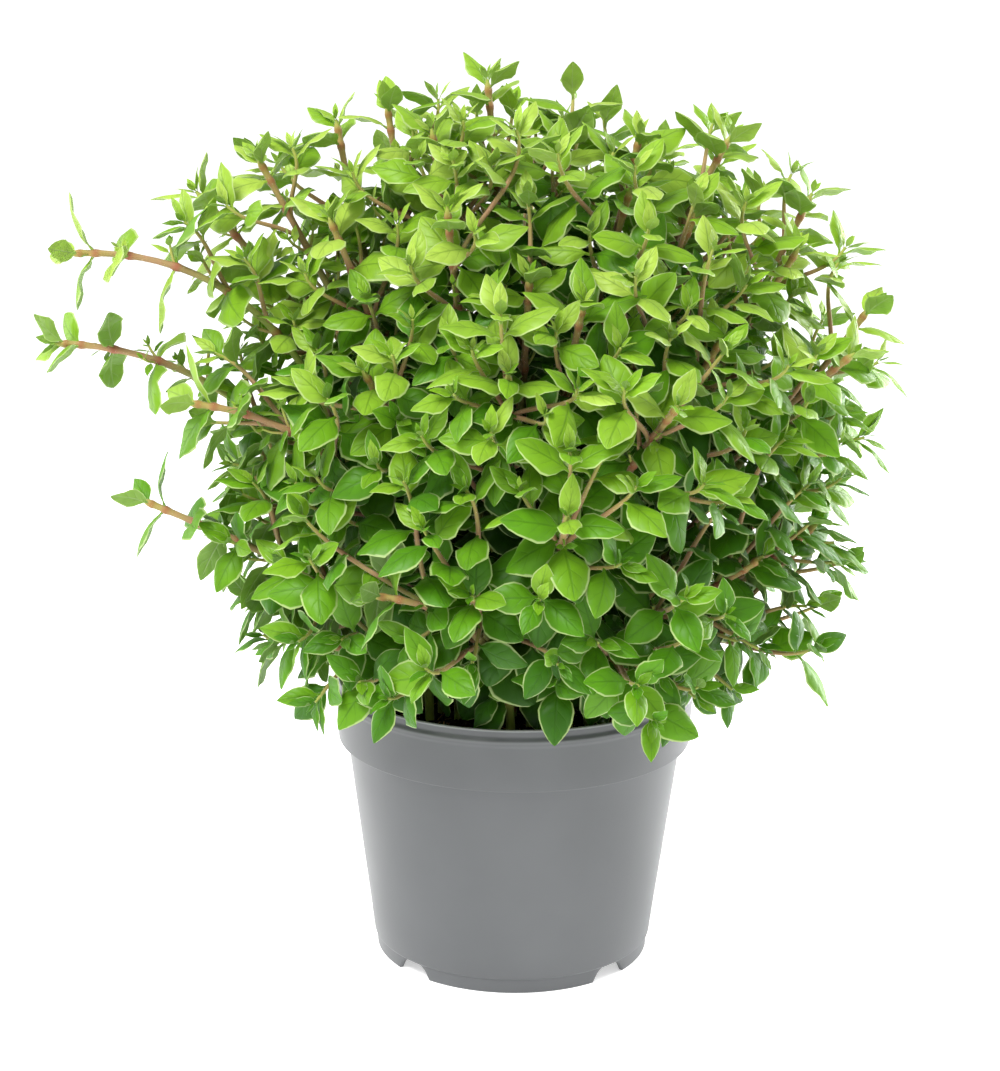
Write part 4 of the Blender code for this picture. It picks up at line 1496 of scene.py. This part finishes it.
def painted_light_share(place):
    """Painted light on a leaf's colour: 0 deep inside, painted shade, 1 outside at the top."""
    off = place - DOME_CENTRE
    depth = Vector([off[k] / DOME_RADII[k] for k in range(3)]).length
    height = clamped((place.z - PAINTED_LIGHT_LOW) / PAINTED_LIGHT_RISE)
    outer = clamped((depth - PAINTED_LIGHT_DEPTH) / PAINTED_LIGHT_DEPTH)
    return outer * (PAINTED_LIGHT_AT_RIM + (1 - PAINTED_LIGHT_AT_RIM) * height)


print("light at the crown:", round(painted_light_share(Vector((0, 0, 0.29))), 2),
      "and at the rim:", round(painted_light_share(Vector((0.06, -0.05, 0.1))), 2))

# %% [markdown]
# Each leafy stem is grown by one Geometry Nodes tree. Its input is the plan of the stem: edges
# where an axis runs, and loose points where leaves sit. Points carry which leaf shape to take,
# how it is turned and how big it is. Edges carry the thickness. The tree instances the leaves,
# sweeps a square section with soft corners along the axes, strews short pale hairs over the
# young part of them, and makes everything real.

# %% Plan of a stem
KNOT_SWELL = 0.38
KNOT_REACH = 1.5 * MM
KNOT_POINTS = (-1.8 * MM, -0.8 * MM, 0.0, 0.8 * MM, 1.8 * MM)
TIP_POINTS = [0.0, 1.0 * MM, 2.2 * MM]
STEM_STEP = 4.5 * MM
STEM_LEAST_STEP = 0.7 * MM
BETWEEN_KNOTS = 0.86
TIP_SHARE = 0.45
TIP_TAPER = 4 * MM
SHOOT_STEP = 2.2 * MM
SHOOT_TIP_SHARE = 0.62
SHOOT_TAPER = 18 * MM
HAIRY_LENGTH = 45 * MM
YOUNG_AGE = 0.45
YOUNG_FILL = 1.18
OLD_FILL = 1.06


def knot_share(mark, knots):
    """How close a mark is to a leaf pair, 1 on it and falling off along the stem."""
    return max((float(np.exp(-((mark - knot) / KNOT_REACH) ** 2)) for knot in knots), default=0.0)


def axis_points(stem):
    """Points down a main stem with thickness, distance to the tip, knot share and tilt."""
    rows = PAIRS + OLD_PAIRS
    knots = [row[0] * MM for row in rows if row[0] * MM < stem["length"] - 8 * MM]
    marks = TIP_POINTS + [knot + off for knot in knots for off in KNOT_POINTS]
    marks += list(np.arange(5 * MM, stem["length"] - 3 * MM, STEM_STEP))
    marks = sorted(mark for mark in marks if mark >= 0)
    kept = [marks[0]]
    for mark in marks[1:]:
        if mark - kept[-1] > STEM_LEAST_STEP:
            kept.append(mark)
    points = []
    for mark in reversed(kept):
        point, _, _ = along(stem["line"], mark)
        near = knot_share(mark, knots)
        side = stem_side(stem, mark) * (BETWEEN_KNOTS + KNOT_SWELL * near)
        side *= min(1.0, TIP_SHARE + mark / TIP_TAPER)
        points.append((point, side, mark, near, stem["twist"]))
    foot = Vector(stem["line"][0])
    low = points[0][1]
    start = [(foot - Vector((0, 0, 6 * MM)), low, stem["length"], 0.0, stem["twist"]),
             (foot + Vector((0, 0, 1.0 * MM)), low, stem["length"], 0.0, stem["twist"])]
    return start + points


def shoot_points(shoot):
    count = max(int(shoot["length"] / SHOOT_STEP), 4)
    points = []
    for mark in np.linspace(shoot["length"], 0.0, count):
        point, _, _ = along(shoot["line"], mark)
        taper = SHOOT_TIP_SHARE + (1 - SHOOT_TIP_SHARE) * min(mark / SHOOT_TAPER, 1.0)
        side = shoot["width"] * taper
        points.append((point, side, mark, 0.0, 0.0))
    return points


def plan_mesh(stem, draw):
    """The plan of one stem as a mesh of edges and loose points with named attributes."""
    verts, edges = [], []
    data = {"thickness": [], "below": [], "knot": [], "tilt": []}
    for points in [axis_points(stem)] + [shoot_points(shoot) for shoot in stem["shoots"]]:
        first = len(verts)
        for point, side, mark, near, tilt in points:
            verts.append(point)
            for name, value in zip(data, (side, mark, near, tilt)):
                data[name].append(value)
        edges += [(i, i + 1) for i in range(first, len(verts) - 1)]
    bones = len(verts)
    leaves = all_leaves(stem)
    turns, sizes, kinds, tones, ages, lights = [], [], [], [], [], []
    for leaf in leaves:
        place = leaf["place"]
        kind = nearest_kind(leaf)
        verts.append(place.translation.copy())
        turns += list(place.to_quaternion())
        age = leaf.get("age", (leaf["pair"] + 1) / len(PAIRS))
        fill = YOUNG_FILL if age < YOUNG_AGE else OLD_FILL
        size = leaf["size"] * fill
        sizes += [size, leaf["width"] * fill / KINDS[kind]["ratio"], size]
        kinds.append(kind)
        tones.append(draw.uniform())
        ages.append(age)
        # Painted light and shade for the leaf's colour, from where it stands in the dome
        lights.append(painted_light_share(place.translation))
    mesh = bpy.data.meshes.new(stem["name"] + "_plan")
    mesh.from_pydata(verts, edges, [])
    count = len(leaves)

    def store(name, kind, field, values):
        mesh.attributes.new(name, kind, "POINT").data.foreach_set(field, values)

    for name, values in data.items():
        store(name, "FLOAT", "value", values + [0.0] * count)
    store("is_leaf", "BOOLEAN", "value", [False] * bones + [True] * count)
    store("turn", "QUATERNION", "value", [1.0, 0.0, 0.0, 0.0] * bones + turns)
    store("size", "FLOAT_VECTOR", "vector", [1.0] * 3 * bones + sizes)
    store("kind", "INT", "value", [0] * bones + kinds)
    # The light attribute carries the painted light and shade to the leaf material
    for name, values in {"tone": tones, "age": ages, "light": lights}.items():
        store(name, "FLOAT", "value", [0.5] * bones + values)
    return mesh, count


print("points along the first stem:", len(axis_points(STEMS[0])))

# %% Node tree of a leafy stem
def leafy_stem_tree():
    sockets = {"Plan": "Geometry", "Leaf shapes": "Collection", "Leaf material": "Material",
               "Stem material": "Material", "Corner rounding": "Float", "Hair density": "Float",
               "Hair length": "Float", "Hair seed": "Int"}
    tree, given = new_tree("leafy_stem", sockets, "Plant")
    read = {
        name: add_node(tree, "GeometryNodeInputNamedAttribute", {"Name": name}, data_type=kind)
        for name, kind in (("is_leaf", "BOOLEAN"), ("kind", "INT"), ("turn", "QUATERNION"),
                           ("size", "FLOAT_VECTOR"), ("tilt", "FLOAT"), ("thickness", "FLOAT"),
                           ("below", "FLOAT"))}
    parts = add_node(
        tree, "GeometryNodeSeparateGeometry",
        {"Geometry": given["Plan"], "Selection": read["is_leaf"]}, domain="POINT")
    shapes = add_node(
        tree, "GeometryNodeCollectionInfo",
        {"Collection": given["Leaf shapes"], "Separate Children": True, "Reset Children": True})
    leaves = add_node(
        tree, "GeometryNodeInstanceOnPoints",
        {"Points": parts.outputs["Selection"], "Instance": shapes, "Pick Instance": True,
         "Instance Index": read["kind"], "Rotation": read["turn"], "Scale": read["size"]})
    axes = add_node(tree, "GeometryNodeMeshToCurve", {"Mesh": parts.outputs["Inverted"]})
    tilted = add_node(tree, "GeometryNodeSetCurveTilt", {"Curve": axes, "Tilt": read["tilt"]})
    square = add_node(
        tree, "GeometryNodeCurvePrimitiveQuadrilateral", {"Width": 1.0, "Height": 1.0})
    section = add_node(
        tree, "GeometryNodeFilletCurve",
        {"Curve": square, "Radius": given["Corner rounding"], "Count": 1}, mode="POLY")
    bars = add_node(
        tree, "GeometryNodeCurveToMesh",
        {"Curve": tilted, "Profile Curve": section, "Scale": read["thickness"], "Fill Caps": True})
    young = add_node(
        tree, "FunctionNodeCompare", {"A": read["below"], "B": HAIRY_LENGTH}, operation="LESS_THAN")
    roots = add_node(
        tree, "GeometryNodeDistributePointsOnFaces",
        {"Mesh": bars, "Selection": young, "Density": given["Hair density"],
         "Seed": given["Hair seed"]})
    stray = add_node(
        tree, "FunctionNodeRandomValue", {0: (-0.5, -0.5, -0.5), 1: (0.5, 0.5, 0.5)},
        data_type="FLOAT_VECTOR")
    lean = add_node(
        tree, "ShaderNodeVectorMath", {0: roots.outputs["Normal"], 1: stray}, operation="ADD")
    turn = add_node(tree, "FunctionNodeAlignRotationToVector", {"Vector": lean}, axis="Z")
    cone = add_node(
        tree, "GeometryNodeMeshCone",
        {"Vertices": 3, "Radius Top": 0.0, "Radius Bottom": 0.045, "Depth": 1.0})
    pale = add_node(
        tree, "GeometryNodeStoreNamedAttribute", {"Geometry": cone, "Name": "hair", "Value": 1.0},
        data_type="FLOAT", domain="POINT")
    hairs = add_node(
        tree, "GeometryNodeInstanceOnPoints",
        {"Points": roots.outputs["Points"], "Instance": pale, "Rotation": turn,
         "Scale": given["Hair length"]})
    plant = add_node(tree, "GeometryNodeJoinGeometry")
    for piece in (bars, leaves, hairs):
        tree.links.new(piece.outputs[0], plant.inputs["Geometry"])
    real = add_node(tree, "GeometryNodeRealizeInstances", {"Geometry": plant})
    bark = add_node(
        tree, "GeometryNodeSetMaterial", {"Geometry": real, "Material": given["Stem material"]})
    green = add_node(
        tree, "GeometryNodeSetMaterial",
        {"Geometry": bark, "Selection": read["is_leaf"], "Material": given["Leaf material"]})
    add_node(tree, "NodeGroupOutput", {"Plant": green})
    return tree


LEAFY_STEM = leafy_stem_tree()
print("nodes in the tree of a leafy stem:", len(LEAFY_STEM.nodes))

# %% [markdown]
# An oregano leaf is a thin sheet full of chlorophyll, so light that falls on one face glows
# through the other. Short hairs give its face a faint bloom, and its gloss is soft. The veins
# run from the midrib towards the margin and the blade bulges a little between them. The
# margin itself is thin and dry, and shows as a pale line round the whole leaf.

# %% Material of the leaves
VEINS = 4.4
VEIN_SWEEP = 1.25
GLOW = 0.36
TONE_SPREAD = 0.40
AGE_DARKENS = -0.22
LEAF_GREENS = [
    (0.0, "#234C08"), (0.25, "#3A740C"), (0.5, "#5F9E12"), (0.75, "#90BF28"), (1.0, "#BEDB58")]


def oregano_leaf():
    material, tree, shader = new_material(
        "oregano_leaf", IOR=1.42, Roughness=0.42, Specular_IOR_Level=0.42, Sheen_Weight=0.06,
        Sheen_Roughness=0.5)
    blade = add_node(tree, "ShaderNodeAttribute", attribute_name="blade")
    spot = add_node(tree, "ShaderNodeSeparateXYZ", {"Vector": blade.outputs["Vector"]}).outputs
    across = add_node(tree, "ShaderNodeMath", {0: spot["Y"]}, operation="ABSOLUTE")
    tone, light, age = (
        add_node(tree, "ShaderNodeAttribute", attribute_name=name).outputs["Fac"]
        for name in ("tone", "light", "age"))
    # Painted light and shade: the light share darkens leaves deep in the dome and low down, and
    # lightens those outside at the top
    brightness_with_painted_light = add_node(
        tree, "ShaderNodeMath", {0: tone, 1: TONE_SPREAD, 2: light}, operation="MULTIPLY_ADD")
    brightness_with_painted_light = add_node(
        tree, "ShaderNodeMath", {0: age, 1: AGE_DARKENS, 2: brightness_with_painted_light}, operation="MULTIPLY_ADD")
    level = add_node(
        tree, "ShaderNodeMapRange", {"Value": brightness_with_painted_light, "From Min": 0.05, "From Max": 1.25})
    face = add_node(tree, "ShaderNodeValToRGB", {"Fac": level}, stops=LEAF_GREENS)
    back = add_node(
        tree, "ShaderNodeMix", {0: 0.5, 6: face, 7: "#A9C07A"}, data_type="RGBA")
    # The side veins leave the midrib at a slant, about four on each side.
    run = add_node(
        tree, "ShaderNodeMath", {0: across, 1: -VEIN_SWEEP, 2: tone}, operation="MULTIPLY_ADD")
    run = add_node(
        tree, "ShaderNodeMath", {0: spot["X"], 1: VEINS, 2: run}, operation="MULTIPLY_ADD")
    run = add_node(tree, "ShaderNodeMath", {0: run}, operation="FRACT")
    run = add_node(tree, "ShaderNodeMath", {0: run, 1: 0.5}, operation="SUBTRACT")
    run = add_node(tree, "ShaderNodeMath", {0: run}, operation="ABSOLUTE")
    place = add_node(tree, "ShaderNodeTexCoord").outputs["Object"]
    blotch = add_node(tree, "ShaderNodeTexNoise", {"Vector": place, "Scale": 160.0, "Detail": 3.0})
    line, fade, midrib, rim, patch = (
        add_node(
            tree, "ShaderNodeMapRange",
            {"Value": value, "From Min": start, "From Max": stop, "To Max": most},
            interpolation_type="SMOOTHSTEP")
        for value, start, stop, most in (
            (run, 0.44, 0.5, 0.6), (across, 0.85, 0.4, 1.0), (across, 0.09, 0.02, 1.0),
            (across, 0.87, 0.94, 0.75), (blotch, 0.35, 0.75, 0.2)))
    lateral = add_node(tree, "ShaderNodeMath", {0: line, 1: fade}, operation="MULTIPLY")
    vein = add_node(tree, "ShaderNodeMath", {0: lateral, 1: midrib}, operation="MAXIMUM")
    dark = add_node(tree, "ShaderNodeMath", {0: vein, 1: 0.38}, operation="MULTIPLY")
    top = add_node(tree, "ShaderNodeMix", {0: dark, 6: face, 7: "#30600F"}, data_type="RGBA")
    pale = add_node(tree, "ShaderNodeMath", {0: vein, 1: 0.5}, operation="MULTIPLY")
    low = add_node(tree, "ShaderNodeMix", {0: pale, 6: back, 7: "#C9D8A4"}, data_type="RGBA")
    base = add_node(tree, "ShaderNodeMix", {0: spot["Z"], 6: top, 7: low}, data_type="RGBA")
    base = add_node(tree, "ShaderNodeMix", {0: rim, 6: base, 7: "#D2E39C"}, data_type="RGBA")
    base = add_node(tree, "ShaderNodeMix", {0: patch, 6: base, 7: "#2B5512"}, data_type="RGBA")
    tree.links.new(base.outputs[2], shader.inputs["Base Color"])
    # The blade bulges between its veins, and its face is finely grained by hairs.
    bulge = add_node(tree, "ShaderNodeMath", {0: run, 1: run}, operation="MULTIPLY")
    bulge = add_node(
        tree, "ShaderNodeMath", {0: bulge, 1: -2.6, 2: 1.0}, operation="MULTIPLY_ADD")
    grain = add_node(tree, "ShaderNodeTexNoise", {"Vector": place, "Scale": 700.0, "Detail": 2.0})
    height = add_node(
        tree, "ShaderNodeMath", {0: vein, 1: -0.7, 2: bulge}, operation="MULTIPLY_ADD")
    height = add_node(
        tree, "ShaderNodeMath", {0: grain, 1: 0.3, 2: height}, operation="MULTIPLY_ADD")
    bump = add_node(
        tree, "ShaderNodeBump", {"Height": height, "Strength": 0.6, "Distance": 0.25 * MM})
    tree.links.new(bump.outputs["Normal"], shader.inputs["Normal"])
    through = add_node(tree, "ShaderNodeMix", {0: 0.45, 6: base, 7: "#B4D816"}, data_type="RGBA")
    glow = add_node(tree, "ShaderNodeBsdfTranslucent", {"Color": through})
    sheet = add_node(tree, "ShaderNodeMixShader", {0: GLOW, 1: shader, 2: glow})
    tree.links.new(sheet.outputs["Shader"], tree.nodes["Material Output"].inputs["Surface"])
    return material


LEAF = oregano_leaf()
print("nodes in the leaf's material:", len(LEAF.node_tree.nodes))

# %% [markdown]
# A young oregano stem is hairy. It is green at its very tip, brown over the next centimetres
# and green again further down, and round each leaf pair it turns red.

# %% Material of the stems
def oregano_stem():
    material, tree, shader = new_material(
        "oregano_stem", IOR=1.42, Roughness=0.55, Specular_IOR_Level=0.4, Sheen_Weight=0.15,
        Sheen_Roughness=0.5)
    below, knot, hair = (
        add_node(tree, "ShaderNodeAttribute", attribute_name=name).outputs["Fac"]
        for name in ("below", "knot", "hair"))
    share = add_node(
        tree, "ShaderNodeMapRange", {"Value": below, "From Min": 0.0, "From Max": 80 * MM})
    bark = add_node(tree, "ShaderNodeValToRGB", {"Fac": share}, stops=[
        (0.0, "#A9B552"), (0.08, "#AC9C58"), (0.22, "#A67C5C"), (0.42, "#9A7A55"),
        (0.62, "#8C8E48"), (1.0, "#8E9E40")])
    place = add_node(tree, "ShaderNodeTexCoord").outputs["Object"]
    blotch = add_node(tree, "ShaderNodeTexNoise", {"Vector": place, "Scale": 220.0, "Detail": 3.0})
    patch = add_node(
        tree, "ShaderNodeMapRange",
        {"Value": blotch, "From Min": 0.4, "From Max": 0.7, "To Max": 0.4})
    bark = add_node(tree, "ShaderNodeMix", {0: patch, 6: bark, 7: "#7D8F3C"}, data_type="RGBA")
    red = add_node(tree, "ShaderNodeMath", {0: knot, 1: 0.65}, operation="MULTIPLY")
    bark = add_node(tree, "ShaderNodeMix", {0: red, 6: bark, 7: "#93402F"}, data_type="RGBA")
    bark = add_node(tree, "ShaderNodeMix", {0: hair, 6: bark, 7: "#E9E4D2"}, data_type="RGBA")
    tree.links.new(bark.outputs[2], shader.inputs["Base Color"])
    bump = add_node(
        tree, "ShaderNodeBump", {"Height": blotch, "Strength": 0.3, "Distance": 0.3 * MM})
    tree.links.new(bump.outputs["Normal"], shader.inputs["Normal"])
    return material


BARK = oregano_stem()
print("stem material:", BARK.name)

# %% Run the tree for every stem
HAIR_DENSITY = 380000.0
HAIR_LENGTH = 0.8 * MM
HAIR_SEED = 3
CORNER_ROUNDING = 0.24
STEM_SHARP = 58
TONE_SEED = 7


def fine_stem(stem, draw):
    mesh, count = plan_mesh(stem, draw)
    obj = add_object(stem["name"].replace("leafy_stem", "oregano_stem"), mesh)
    run_tree(obj, LEAFY_STEM, {
        "Leaf shapes": LEAVES, "Leaf material": LEAF, "Stem material": BARK,
        "Corner rounding": CORNER_ROUNDING, "Hair density": HAIR_DENSITY,
        "Hair length": HAIR_LENGTH, "Hair seed": HAIR_SEED})
    smoothed(obj, STEM_SHARP)
    return obj, count


tones = np.random.default_rng(TONE_SEED)
FINE_STEMS = {}
total = 0
for stem in STEMS:
    FINE_STEMS[stem["name"]], count = fine_stem(stem, tones)
    total += count
remove_group(LEAVES)
print("leaves:", total, "faces:", sum(len(obj.data.polygons) for obj in FINE_STEMS.values()))

# %% [markdown]
# Potting mix is milled peat with bits of wood in it. The surface is lumpy at every size, so
# three noises raise and lower it, and a seeded Geometry Nodes tree strews crumbs and slivers
# over it.

# %% Soil
SOIL_RINGS = 34
SOIL_SIDES = 96
SOIL_REACH = LIP_RADIUS - WALL - 1.7 * MM
SOIL_SHARP = 50
SOIL_RAISE = 0.4 * MM
# The soil's three noises: the slice of the noise, the size of its lumps and their height in mm
SOIL_NOISES = [(0.02, 9.0, 1.2), (0.05, 4.0, 0.7), (0.09, 1.8, 0.35)]
CRUMB_KINDS = 7
SLIVERS_FROM = 5
SLIVER_STRETCH = (4.5, 0.45, 0.3)
CRUMB_SEED = 4
CRUMB_DENSITY = 220000.0
CRUMB_LEAST = 0.3 * MM
CRUMB_MOST = 1.1 * MM


def soil_height(x, y):
    height = SOIL_TOP + SOIL_RAISE
    for layer, size, rise in SOIL_NOISES:
        height += rise * MM * noise.noise(Vector((x, y, layer)) / (size * MM))
    return height


def soil_angle(k, ring):
    """The angle of a ring's k-th point; every second ring is turned by half a step."""
    return 2 * pi * (k + 0.5 * (ring % 2)) / SOIL_SIDES


def make_soil():
    verts = [(0.0, 0.0, soil_height(0.0, 0.0))]
    for r in range(1, SOIL_RINGS + 1):
        reach = SOIL_REACH * r / SOIL_RINGS
        for k in range(SOIL_SIDES):
            angle = soil_angle(k, r)
            x, y = reach * cos(angle), reach * sin(angle)
            verts.append((x, y, soil_height(x, y)))
    shelf = (BODY_TOP_RADIUS - WALL - 0.8 * MM, COLLAR_LOW_HEIGHT + 1.0 * MM)
    low = (wall_radius(FLOOR_TOP) - WALL - 0.8 * MM, FLOOR_TOP + GAP)
    for reach, height in (shelf, low):
        first_low = len(verts)
        for k in range(SOIL_SIDES):
            angle = soil_angle(k, SOIL_RINGS)
            verts.append((reach * cos(angle), reach * sin(angle), height))
    faces = [(0, 1 + k, 1 + (k + 1) % SOIL_SIDES) for k in range(SOIL_SIDES)]
    for r in range(SOIL_RINGS + 1):
        for k in range(SOIL_SIDES):
            a = 1 + r * SOIL_SIDES + k
            b = 1 + r * SOIL_SIDES + (k + 1) % SOIL_SIDES
            faces.append((a, a + SOIL_SIDES, b + SOIL_SIDES, b))
    faces.append(tuple(range(first_low + SOIL_SIDES - 1, first_low - 1, -1)))
    mesh = bpy.data.meshes.new("potting_soil")
    mesh.from_pydata(verts, [], faces)
    return add_object("potting_soil", mesh)


def crumb_shapes():
    """Five crumbs of peat and two slivers of wood."""
    group = new_group("crumb_shapes")
    draw = np.random.default_rng(CRUMB_SEED)
    for i in range(CRUMB_KINDS):
        shape = bmesh.new()
        bmesh.ops.create_icosphere(shape, subdivisions=1, radius=1.0)
        for vert in shape.verts:
            vert.co *= draw.uniform(0.65, 1.2)
            if i >= SLIVERS_FROM:
                vert.co = Vector([c * stretch for c, stretch in zip(vert.co, SLIVER_STRETCH)])
        mesh = bpy.data.meshes.new(f"crumb_{i}")
        shape.to_mesh(mesh)
        shape.free()
        wood = mesh.attributes.new("wood", "FLOAT", "POINT")
        wood.data.foreach_set("value", [float(i >= SLIVERS_FROM)] * len(mesh.vertices))
        group.objects.link(bpy.data.objects.new(f"crumb_{i}", mesh))
    return group


def soil_tree():
    sockets = {"Soil": "Geometry", "Crumbs": "Collection", "Material": "Material",
               "Density": "Float", "Least size": "Float", "Most size": "Float", "Seed": "Int"}
    tree, given = new_tree("strewn_soil", sockets, "Soil")
    normal = add_node(tree, "GeometryNodeInputNormal")
    upward = add_node(tree, "ShaderNodeSeparateXYZ", {"Vector": normal}).outputs["Z"]
    level = add_node(tree, "ShaderNodeMath", {0: upward, 1: 0.4}, operation="GREATER_THAN")
    spots = add_node(
        tree, "GeometryNodeDistributePointsOnFaces",
        {"Mesh": given["Soil"], "Selection": level, "Density": given["Density"],
         "Seed": given["Seed"]})
    shapes = add_node(
        tree, "GeometryNodeCollectionInfo",
        {"Collection": given["Crumbs"], "Separate Children": True, "Reset Children": True})
    pick = add_node(tree, "FunctionNodeRandomValue", {4: 0, 5: CRUMB_KINDS - 1}, data_type="INT")
    size = add_node(
        tree, "FunctionNodeRandomValue", {2: given["Least size"], 3: given["Most size"]},
        data_type="FLOAT")
    spin = add_node(
        tree, "FunctionNodeRandomValue", {1: (0.6, 0.6, 2 * pi)}, data_type="FLOAT_VECTOR")
    crumbs = add_node(
        tree, "GeometryNodeInstanceOnPoints",
        {"Points": spots, "Instance": shapes, "Pick Instance": True, "Instance Index": pick,
         "Rotation": spin, "Scale": size})
    both = add_node(tree, "GeometryNodeJoinGeometry")
    tree.links.new(given["Soil"], both.inputs["Geometry"])
    tree.links.new(crumbs.outputs["Instances"], both.inputs["Geometry"])
    real = add_node(tree, "GeometryNodeRealizeInstances", {"Geometry": both})
    dark = add_node(
        tree, "GeometryNodeSetMaterial", {"Geometry": real, "Material": given["Material"]})
    add_node(tree, "NodeGroupOutput", {"Soil": dark})
    return tree


def peat():
    material, tree, shader = new_material(
        "peat_potting_mix", IOR=1.45, Roughness=0.92, Specular_IOR_Level=0.3)
    place = add_node(tree, "ShaderNodeTexCoord").outputs["Object"]
    clods = add_node(tree, "ShaderNodeTexNoise", {"Vector": place, "Scale": 420.0, "Detail": 4.0})
    brown = add_node(
        tree, "ShaderNodeValToRGB", {"Fac": clods},
        stops=[(0.3, "#0F0B08"), (0.55, "#1F1610"), (0.8, "#3C2B1E")])
    wood = add_node(tree, "ShaderNodeAttribute", attribute_name="wood").outputs["Fac"]
    brown = add_node(tree, "ShaderNodeMix", {0: wood, 6: brown, 7: "#9A7B55"}, data_type="RGBA")
    tree.links.new(brown.outputs[2], shader.inputs["Base Color"])
    bump = add_node(
        tree, "ShaderNodeBump", {"Height": clods, "Strength": 0.8, "Distance": 0.5 * MM})
    tree.links.new(bump.outputs["Normal"], shader.inputs["Normal"])
    return material


soil = make_soil()
crumbs = crumb_shapes()
run_tree(soil, soil_tree(), {
    "Crumbs": crumbs, "Material": peat(), "Density": CRUMB_DENSITY, "Least size": CRUMB_LEAST,
    "Most size": CRUMB_MOST, "Seed": CRUMB_SEED})
smoothed(soil, SOIL_SHARP)
remove_group(crumbs)
print("soil faces:", len(soil.data.polygons))

# %% [markdown]
# The plant stands on plain white. The world gives an even light from all round, a large soft
# light from the upper left shapes the leaves, and two tall softboxes behind the pot at either
# side draw the bright bands down its edges.

# %% Floor, lights and world
FLOOR_REACH = 14.0
FLOOR_NEAR_EDGE = -2.0
FLOOR_GLOW = 0.5
WORLD_STRENGTH = 0.7
# The lights: name, place and target in metres, size in metres, and power in watts
LIGHTS = [
    ("key", (-0.5, -0.75, 1.3), (0, 0, 0.17), (0.6, 0.6), 22),
    ("right_softbox", (0.62, 0.42, 0.25), (0, 0, 0.10), (0.35, 0.7), 11),
    ("left_softbox", (-0.8, 0.3, 0.35), (0, 0, 0.12), (0.35, 0.9), 4),
]


def area_light(name, place, target, size, power):
    data = bpy.data.lights.new(name, "AREA")
    data.shape = "RECTANGLE"
    data.size, data.size_y = size
    data.energy = power
    light = add_object(name, data)
    place = Vector(place)
    turn = (Vector(target) - place).to_track_quat("-Z", "Y").to_matrix().to_4x4()
    light.matrix_world = Matrix.Translation(place) @ turn
    return light


def plain_floor():
    mesh = bpy.data.meshes.new("studio_floor")
    left, right, far = -FLOOR_REACH, FLOOR_REACH, 2 * FLOOR_REACH
    mesh.from_pydata(
        [(left, FLOOR_NEAR_EDGE, 0), (right, FLOOR_NEAR_EDGE, 0), (right, far, 0), (left, far, 0)],
        [], [(0, 1, 2, 3)])
    floor = add_object("studio_floor", mesh)
    material, _, shader = new_material(
        "matt_white_paper", Roughness=0.9, Specular_IOR_Level=0.0)
    shader.inputs["Base Color"].default_value = colour("#F8F8F8")
    shader.inputs["Emission Color"].default_value = (1.0, 1.0, 1.0, 1.0)
    shader.inputs["Emission Strength"].default_value = FLOOR_GLOW
    floor.data.materials.append(material)
    return floor


floor = plain_floor()
world = bpy.data.worlds.new("studio")
bpy.context.scene.world = world
world.use_nodes = True
background = world.node_tree.nodes["Background"].inputs
background["Color"].default_value = (1.0, 1.0, 1.0, 1.0)
background["Strength"].default_value = WORLD_STRENGTH
for row in LIGHTS:
    area_light(*row)
bpy.context.scene.view_settings.view_transform = "Standard"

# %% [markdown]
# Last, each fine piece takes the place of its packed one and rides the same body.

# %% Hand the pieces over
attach(pot, "root")
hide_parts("pot")
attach(soil, "root")
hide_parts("soil")
for name, obj in FINE_STEMS.items():
    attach(obj, "root")
    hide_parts(name)
